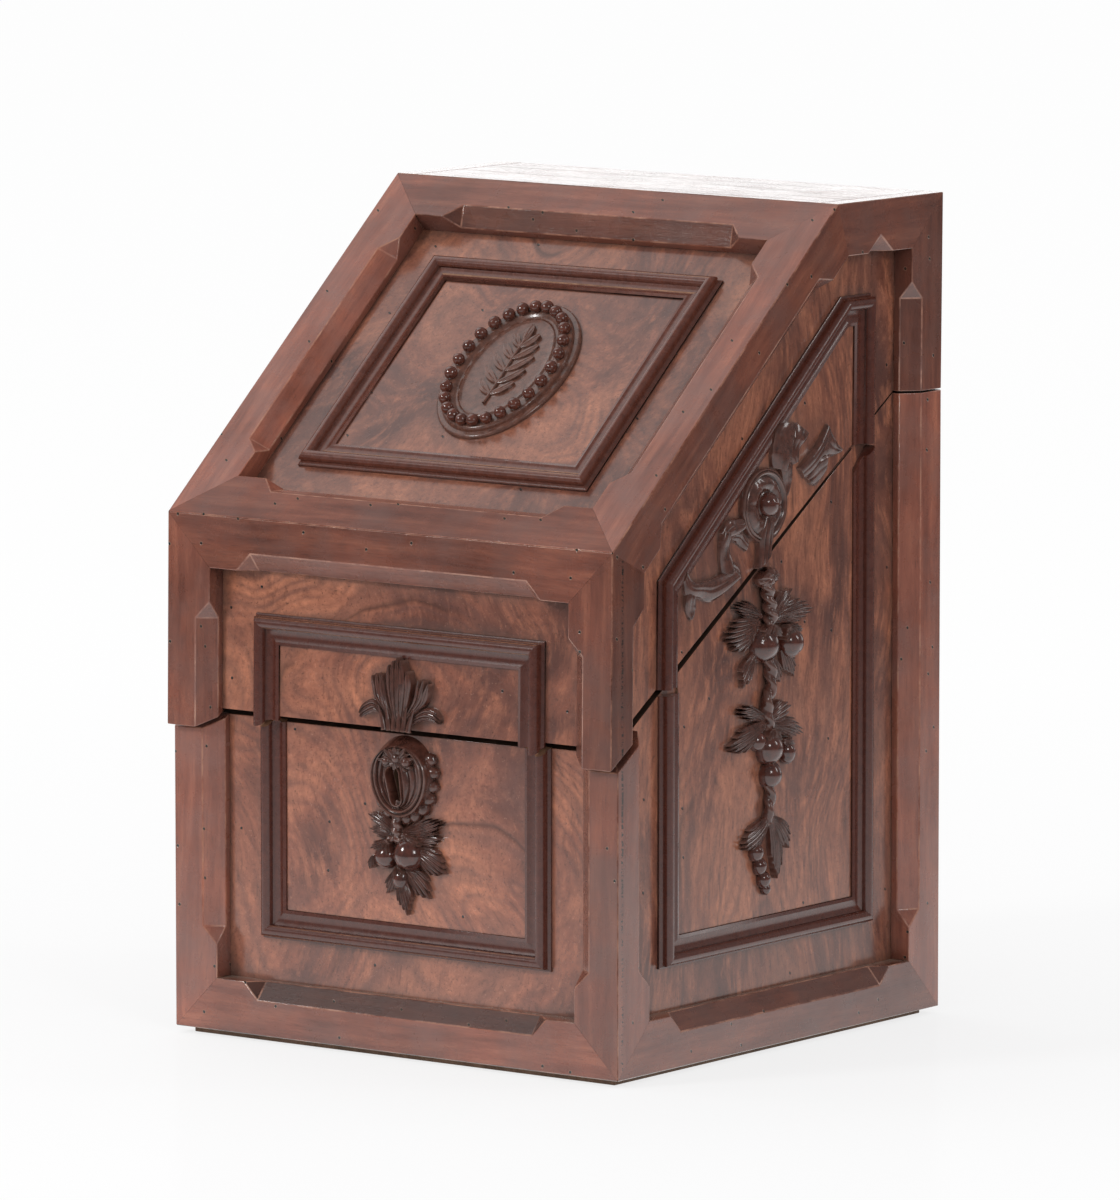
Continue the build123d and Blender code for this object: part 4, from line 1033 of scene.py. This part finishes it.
def keyhole_line(angles, spare):
    """Tilted tear-shaped keyhole, as a loop of points a given width outside its wall."""
    radius, toe, reach = 3.2 + spare, 2.4 + spare, 5.3
    points = []
    for angle in angles:
        dx, dy = math.cos(angle), math.sin(angle)
        best = 0
        for far in np.linspace(0.5, 14, 136):
            x, y = dx * far, dy * far
            if y > reach:
                inside = math.hypot(x, y - reach) <= radius
            elif y < -reach:
                inside = math.hypot(x, y + reach) <= toe
            else:
                inside = abs(x) <= toe + (radius - toe) * (y + reach) / (2 * reach)
            if inside:
                best = far
        points.append((dx * best, dy * best))
    points = np.array(points)
    cos, sin = math.cos(KEYHOLE_TILT), math.sin(KEYHOLE_TILT)
    turned = np.stack([points[:, 0] * cos - points[:, 1] * sin, points[:, 0] * sin + points[:, 1] * cos], 1)
    return KEYHOLE + turned


def carve_escutcheon(m):
    work = front_face(5)
    size = 120
    turn = np.linspace(0, 2 * np.pi, size, endpoint=False)
    hole = keyhole_line(turn - KEYHOLE_TILT, 0.25)
    lip = keyhole_line(turn - KEYHOLE_TILT, 0.95)
    centre = np.array([120.3, 120.8])
    loops = []

    def headroom(height):
        """Highest point that a carving may reach under the slanted parting."""
        return 132.7 - PART_SLOPE * (PANEL + height) - 0.8

    def add(flat, height):
        flat = flat.copy()
        top = flat[:, 1].max()
        limit = min(headroom(height), top)
        above = flat[:, 1] > centre[1]
        flat[above, 1] = centre[1] + (flat[above, 1] - centre[1]) * (limit - centre[1]) / (top - centre[1])
        loops.append(np.column_stack([flat, PANEL + height + 0 * turn]))

    def oval(a, b):
        return centre + np.stack([a * np.cos(turn), b * np.sin(turn)], 1)

    add(hole, -0.4)
    add(hole, 5.3)
    add((hole + lip) / 2, 6)
    add(lip, 5.9)
    inner = oval(11.4, 14.9)
    steps = 36
    for k in range(1, steps + 1):
        f = k / steps
        bowl = 5.2 - 1.2 * math.sin(math.pi * f) + 0.4 * f
        ridge = 1.15 * abs(math.sin(math.pi * 3 * f)) ** 0.8
        add(lip * (1 - f) + inner * f, bowl + ridge - 0.6)
    for a, height in (
        (11.7, 6.2), (12.1, 6.75), (12.6, 6.8), (13, 6.3), (13.3, 5.5), (13.6, 5.6), (14, 6.4), (14.5, 6.5),
        (14.9, 6.1), (15.1, 5.3), (15.05, 4.2), (15.6, 3.5), (16, 2.2), (15.9, -0.4),
    ):
        add(oval(a, a + 3.4), height)
    work.stack(loops, 0, cap=False, close=False)
    for k in range(20):
        angle = 2 * math.pi * k / 20 + 0.1
        u, v = centre + (15.6 * math.cos(angle), 18.8 * math.sin(angle))
        if v > 131 or 100 < math.degrees(angle) < 205:
            continue
        swell = dict(stretch=(1 + 0.3 * abs(math.cos(angle)), 1 + 0.3 * abs(math.sin(angle))))
        work.fruit(u, v, 2.7, 0.4, slot=0, crease=1, **swell)
    top = PANEL + 4.6
    frill = dict(lobes=1, edge=1.2, base=top, groove=0.8)
    for tip_u, tip_v, width, rise in (
        (110.6, 127.4, 5.6, 2.6), (113.6, 132, 5.8, 2.8), (119.4, 133.6, 6, 2.6), (125, 132.8, 6, 2.8),
        (129.6, 129, 5.6, 2.6), (128.2, 124.6, 5, 2.2),
    ):
        work.leaf((119.8, 126.6), (tip_u, tip_v), width, rise, bite=0.35, curl=0.5, **frill)
    work.leaf((119.4, 129.6), (119, 123.2), 6, 2.6, bite=0.3, **frill)
    for u, v, r in ((114.8, 126.8, 2.1), (125.6, 127.2, 2.3), (120.2, 128.4, 2.2)):
        work.fruit(u, v, r, 0.9, slot=0, base=top, crease=1)
    work.make("escutcheon_carving", "base", "carving", "keyhole_escutcheon", [m["carving"], m["fruit"]],
              cut=parting(False, 0.6))


def carve_pendant(m):
    work = front_face(7)
    work.leaves((
        (116.5, 95, 102, 102.2, 7.5, 3.4, 2, 0.3, -0.8),
        (116, 93.5, 101.8, 96, 5.5, 2.6, 2, 0.35),
        (120, 95.6, 143, 102.4, 8.6, 4, 3, 0.28, -1.2, 0.8),
        (125, 92.6, 141.5, 94.4, 8, 3.4, 2, 0.25, 0.8),
        (126, 88.5, 143.4, 79.4, 11.5, 3.6, 3, 0.32, 0.8),
        (121, 80.6, 134.4, 67.8, 10, 3, 2, 0.35, 1),
        (116.5, 78.6, 111.6, 68.2, 6.6, 2.8, 2, 0.35),
        (118.6, 78, 122.6, 60.2, 8.2, 3.6, 3, 0.34),
    ))
    work.fruit(123.7, 86.3, 7.5, 0.12, dimple=(0.35, -0.75), crease=1)
    work.fruit(110.8, 84.4, 5.9, 0.10, dimple=(-0.2, -0.7))
    work.fruit(118.9, 75, 4.5, 0.2, stretch=(0.92, 1.1), dimple=(0.1, -0.8))
    work.sepals((
        (121.5, 94.6, 128.2, 88.6, 4.2, 3.6), (120, 95.2, 121.8, 89.2, 3.4, 3.6),
        (121.8, 95.2, 131.2, 90.6, 3.6, 3.6), (113.8, 91.6, 104.6, 87.6, 4.2, 3.6),
        (113.6, 91.8, 108.4, 85, 3, 3.6), (114.2, 90.8, 113.2, 84.8, 3, 3.6),
        (106, 84.6, 104.2, 78.6, 3.4, 3.6), (118.2, 80.6, 117, 75.6, 2.6, 3.6),
        (119.4, 80.6, 121.6, 76.6, 2.6, 3.6),
    ), 0.2)
    work.stem([(119.3, 109.5), (118, 103), (118.4, 95), (120.6, 92)], [1.3, 1.6, 2.4, 2.2], 3.4, 0.8)
    work.stem([(119.2, 92.5), (113.5, 92), (111, 90)], [1.6, 1.3], 2.6, 1.2)
    work.stem([(120.4, 93), (119, 84), (118.8, 78)], [1.5, 1.4], 1.8, 1.2)
    work.make("pendant_carving", "base", "carving", "fruit_pendant", [m["carving"], m["fruit"]])


def carve_garland(m):
    work = side_face(11)
    work.leaves((
        (121, 185, 135.8, 197, 9, 4, 2, 0.3, 1),
        (122, 184.6, 150.2, 187, 10.5, 4.4, 3, 0.34, 1.4, 0.8),
        (114, 187, 93, 193.6, 7.6, 3.4, 3, 0.4, -0.6),
        (112, 184, 85, 180.6, 13, 3.8, 3, 0.42, 0.8),
        (110, 180, 92.8, 174.6, 8.6, 3, 2, 0.35),
        (109, 171, 100.2, 157.4, 9.2, 3.2, 2, 0.12, -0.8),
        (130, 171, 137.4, 158.4, 9.6, 3, 3, 0.3, 0.8),
        (122, 168, 127.4, 156.4, 7.6, 3, 2, 0.3, 0.6),
        (117.6, 141.6, 95, 147.4, 6.8, 3.6, 2, 0.25, -1, 0.8),
        (116.6, 139.6, 88.4, 131.2, 11, 3.8, 3, 0.36, 0.6),
        (119, 140.6, 135.2, 146, 10, 3.8, 2, 0.2, 0.8),
        (121, 138.6, 144.2, 132.6, 9, 3.4, 3, 0.34, 1.4, 0.6),
        (119.6, 98, 99.6, 87.4, 11, 3.8, 3, 0.26, 1.4),
        (121.6, 98, 134.4, 83.6, 10, 3.6, 3, 0.32, 1.6),
        (121, 97, 125, 71.4, 8.4, 4, 3, 0.25, 1.8),
    ))
    work.fruit(115.8, 174.6, 8.4, 0, dimple=(0.15, -0.8), crease=1)
    work.fruit(135.6, 173.2, 7.2, 0.08, dimple=(0.3, -0.7), crease=1)
    work.fruit(119.6, 128.6, 7.2, 0.15, dimple=(0.1, -0.75), crease=1)
    work.fruit(133.6, 125.4, 4.8, 0.15, stretch=(0.9, 1.1))
    work.fruit(120.8, 117.2, 6.2, 0.15, stretch=(0.95, 1.05), dimple=(0.1, -0.8))
    work.fruit(112.2, 132.6, 4.6, 0.1)
    for u, v, r in ((110.8, 84.2, 3.9), (113.4, 77.8, 3.7), (116.6, 71.6, 3.6), (118.4, 67.4, 2.7)):
        work.fruit(u, v, r, 0.3, stretch=(0.95, 1.08))
    work.sepals((
        (117.2, 183, 110, 177.4, 4.4, 4.6), (117.8, 183, 116.6, 176.2, 3.6, 5.4),
        (118.4, 183, 123.6, 177.6, 4.2, 4.6), (130, 180.4, 129.2, 174.4, 3.8, 3.8),
        (131, 180.8, 137, 176, 4.4, 3.8), (131, 181, 142, 178.6, 4.2, 3),
        (118.8, 137.4, 115.6, 131.6, 3.8, 3.8), (119.4, 137.4, 120.4, 130.8, 3.2, 4.4),
        (120, 137.4, 124.8, 132, 3.8, 3.8), (128.6, 131, 136.4, 129, 4.4, 2.6),
    ), 0.15)
    for path, radius, height, twist, depth in (
        ([(116, 201), (118, 194), (119, 187), (118, 181)], [3, 2.7, 3.2, 2.6], 3, 0.55, 0.22),
        ([(119, 168), (121, 160), (120.4, 154), (117.4, 149), (119, 142), (119.4, 137)],
         [2.9, 2.9, 2.5, 2.9, 2.9, 2.2], 2, 0.38, 0.2),
        ([(120, 113), (120.6, 106), (119, 99), (120, 96)], [2.8, 2.5, 2.5, 2], 1.8, 0.38, 0.2),
    ):
        work.stem(path, radius, height, twist, depth=depth)
    turn = np.linspace(0, 2 * np.pi, 36, endpoint=False)
    bell = []
    for a, b, height in (
        (1.2, 0.8, 6.9), (3.2, 1.8, 6.6), (5.4, 2.8, 5.9), (6.6, 3.6, 4.8), (7.2, 4.2, 3.8), (7.3, 4.5, 2.4),
        (7, 4.4, 1), (6.8, 4.2, -0.3),
    ):
        ring = oval_loop((116.6, 203.8), a, b, turn, height)
        ring[:, 1] += 0.10 * a * np.cos(turn)
        ring[:, 2] += 0.35 * np.cos(9 * turn) * (a > 3)
        bell.append(ring)
    work.stack(bell, 0)
    work.fruit(117, 206.6, 2.5, 0.9, stretch=(1.4, 0.7), slot=0)
    work.make_pair("garland_carving", "base", "garland", m, parting(False, 0.6))


def carve_ribbon(m):
    work = side_face(13)
    centre_u, centre_v = 116.4, 233.6
    work.folds((
        ((122.8, 249.4, 122, 256.3, 123.7, 261.5, 125.8, 265.9, 128.6, 268.6),
         (132.1, 247.2, 135.3, 253.1, 137, 258.3, 138.4, 264.1, 140.7, 267.6),
         (1.2, 3, 2.6, 3.8, 2.8, 3.4, 1.6, 2.4), 0.9),
        ((140, 267.7, 137.6, 258.7, 135.8, 253.1, 138.2, 249.4),
         (149, 262, 146.5, 259.4, 142.6, 255.7, 142.4, 250.6), (1, 2.6, 2, 3.2, 1.4, 2.4, 0.8, 1.4), 0.6),
        ((128, 250, 130.5, 243, 132.6, 236),
         (137.6, 252, 138.2, 245, 135.2, 236.4), (2.6, 1.6, 1.8, 2.4, 0.8, 1), 0.5),
        ((142.6, 247.4, 149.4, 252, 155.6, 256, 164.4, 265),
         (147, 242.6, 153, 245.4, 158.4, 250, 167.4, 258.6), (2.2, 1.2, 3.6, 2.8, 3.4, 3.4, 1.2, 2), 0.4),
        ((164.6, 264.4, 168.4, 258.6, 175.4, 253.4),
         (158.8, 250.6, 164.8, 250, 174.4, 251.4), (1.6, 2.6, 3, 1.6, 1.4, 0.8), 0.5),
        ((148, 243.4, 154.4, 248.8, 161.6, 251.6),
         (151.6, 239.8, 157.6, 238.8, 163.2, 244.4), (1, 1.6, 3.4, 1.2, 3.4, 1.4), 0.3),
        ((85.2, 224.5, 89.9, 229.6, 99.5, 229.6),
         (87.4, 221.6, 93.9, 222, 102, 224.6), (1.4, 2, 3, 3.4, 2.2, 2.4), 0.6),
        ((92.2, 223.8, 99.4, 224, 105.4, 219.6),
         (93.2, 220.6, 98.2, 218.2, 104.2, 214.6), (1, 1.2, 2.6, 1.6, 1.6, 1), 0.4),
        ((86.4, 225, 85, 220, 84.8, 214, 86.6, 205.6),
         (92.4, 224, 92.6, 219, 93.4, 212, 93.6, 206.2), (3.2, 2, 2.6, 1.4, 2.4, 2.4, 1.6, 2.8), 0.7),
        ((61.6, 210, 64.6, 205.9, 72, 204.8, 81.8, 205.8, 92.6, 208.6),
         (58.2, 205.6, 60.8, 199.4, 70, 197.4, 79.6, 195.6, 97.8, 203.6),
         (0.9, 1.2, 2.6, 1.8, 3, 2.4, 2.8, 3, 2, 3.4), 0.8),
        ((60.6, 201.2, 60.2, 194.4, 63.4, 189),
         (67, 199.6, 67.6, 193.6, 65.4, 188.8), (2, 1.4, 1.6, 2.2, 0.8, 0.8), 0.5),
        ((89.4, 207.2, 94.2, 204.8, 96.8, 203),
         (90.2, 213.4, 97, 210.4, 100.8, 206), (2.8, 1.2, 3.4, 1.6, 2, 1), 0.4),
    ))
    turn = np.linspace(0, 2 * np.pi, 72, endpoint=False)
    rays = 0.5 + 0.5 * np.cos(6 * turn + 0.4)
    loops = []
    for r, height, ray in (
        (5.2, 2.2, 0), (5.7, 2, 0.1), (6.4, 2.5, 0.3), (7.6, 3.2, 0.5), (9, 3.6, 0.6), (10.4, 3.5, 0.6),
        (11.6, 3, 0.5), (12.4, 2.4, 0.2), (12.8, 2.2, 0), (13.3, 2.7, 0), (13.7, 3.3, 0), (14.3, 3.5, 0),
        (14.8, 3.1, 0), (15, 2.6, 0), (15.3, 3, 0), (15.8, 3, 0), (16.2, 2.4, 0), (16.4, 1.2, 0),
        (16.4, -0.3, 0),
    ):
        shift = 1.4 * max(0, 1 - (r - 5.2) / 8)
        place = (centre_u + shift, centre_v + 0.3 * shift)
        loops.append(oval_loop(place, r, r, turn, height - 0.8 * ray * rays ** 12))
    work.stack(loops, 0, cap=False)
    work.fruit(centre_u + 1.6, centre_v + 0.4, 5.4, 0.42, slot=1, crease=1)
    work.fruit(centre_u + 1.8, centre_v + 0.8, 2, 2.9, slot=1)
    work.folds((
        ((115, 229, 112.6, 222, 112.4, 214, 111, 204), (120.4, 229, 122.4, 222, 121, 214, 117, 204),
         (3.6, 3.6, 3.4, 3.4, 3.4, 3.6, 3.2, 3.4), 1.2),
    ), pleats=3, depth=0.5)
    work.make_pair("ribbon_carving", "lid", "ribbon_and_disc", m, parting(True, 0.5))


def carve_medallion(m):
    work = slope_face(17)
    middle = (120, 106.5)
    turn = np.linspace(0, 2 * np.pi, 120, endpoint=False)
    loops = []
    for a, height in (
        (0.5, 2.75), (4, 2.75), (8, 2.7), (12, 2.65), (16, 2.6), (18.2, 2.6), (18.8, 2.9), (19.4, 3.2),
        (19.9, 2.9), (20.6, 2.7), (21.6, 3.2), (22.4, 3.9), (23.2, 4.1), (25, 4), (26.8, 4.1), (27.6, 4),
        (28.1, 3.5), (28.3, 2.6), (28.5, 1.9), (29.2, 1.7), (30.2, 1.7), (30.9, 1.3), (31.1, 0.5),
        (31, -0.3),
    ):
        b = max(0.5, a + 10.1 * min(1, a / 19.4))
        loops.append(oval_loop(middle, a, b, turn, height))
    work.stack(loops, 0)
    work.make("medallion_plate_carving", "lid", "carving", "medallion_plate", [m["medallion"]])

    sprig = slope_face(19)
    base = PANEL + 2.55
    finger = dict(lobes=0, edge=0.5, base=base, groove=0.10, foot=base - 0.3)
    for side in (-1, 1):
        for v, reach, rise in ((90, 9, 8), (97, 10.5, 9), (104.5, 10.5, 9.5), (112, 9, 9), (119, 6.5, 8)):
            sprig.leaf((120, v), (120 + side * reach, v + rise), 5, 1.5, bow=side * -0.8, **finger)
    sprig.leaf((120, 122), (120, 132.5), 5.4, 1.5, **finger)
    line = smooth_line([(120, 84.5), (120.3, 100), (119.8, 112), (120, 124)], 60)
    around = np.linspace(0, 2 * np.pi, 12, endpoint=False)
    across, rise = 0.75 * np.cos(around), 0.75 * np.sin(around)
    loops = [np.stack([u + across, v + 0 * around, base + 0.6 + rise], 1) for u, v in line]
    sprig.stack(loops[::-1], 0)
    sprig.make("medallion_sprig", "lid", "carving", None, [m["medallion"]])

    beads = slope_face(23)
    for k in range(26):
        angle = 2 * math.pi * k / 26
        grow = 1 + 0.04 * beads.random.uniform(-1, 1)
        u = middle[0] + 25.1 * math.cos(angle) + beads.random.uniform(-0.15, 0.15)
        v = middle[1] + 35.2 * math.sin(angle) + beads.random.uniform(-0.15, 0.15)
        beads.fruit(u, v, 2.9 * grow, 0.58, slot=0, base=PANEL + 4)
    beads.make("medallion_bead_ring", "lid", "beads", "medallion_beads", [m["bead"]])


def add_screws(m):
    """Slotted screws of the hinges, the lock and its strike plate."""
    rise = math.atan(PART_SLOPE)
    up = (0, math.cos(rise), math.sin(rise))
    down = tuple(-value for value in up)
    middle = PART_START + PART_SLOPE * 21.3
    leaf = [(side * 62 + step, 0.3 * (step == 0)) for side in (-1, 1) for step in (-15, 0, 15)]
    for name, body, metal_name, origin, way, places, radius in (
        ("hinge_base_screws", "base", "brass", (0, 114, 277.4), (0, 1, 0), leaf, 2.1),
        ("hinge_lid_screws", "lid", "brass", (0, 114, 277.9), (0, -1, 0), leaf, 2.1),
        ("lock_screws", "base", "steel", (0, -98.7, middle - 0.4), up, ((-16.5, 0), (16.5, 0)), 2.4),
        ("strike_screws", "lid", "brass", (0, -98.7, middle + 0.5), down, ((-9.4, 0), (9.4, 0)), 1.9),
    ):
        work = Relief(origin, (1, 0, 0), way, 29)
        for u, v in places:
            work.screw(u, v, radius, work.random.uniform(0, 3))
        work.make(name, body, metal_name, None, [m[metal_name], m["gap_shade"]])


def main():
    add_camera()
    add_stage()
    m = shared_materials()
    dress_strips(m)
    dress_boards(m)
    dress_mouldings(m)
    dress_fittings(m)
    carve_palmette(m)
    carve_escutcheon(m)
    carve_pendant(m)
    carve_garland(m)
    carve_ribbon(m)
    carve_medallion(m)
    add_screws(m)


main()
bpy.context.scene.view_settings.view_transform = "Standard"
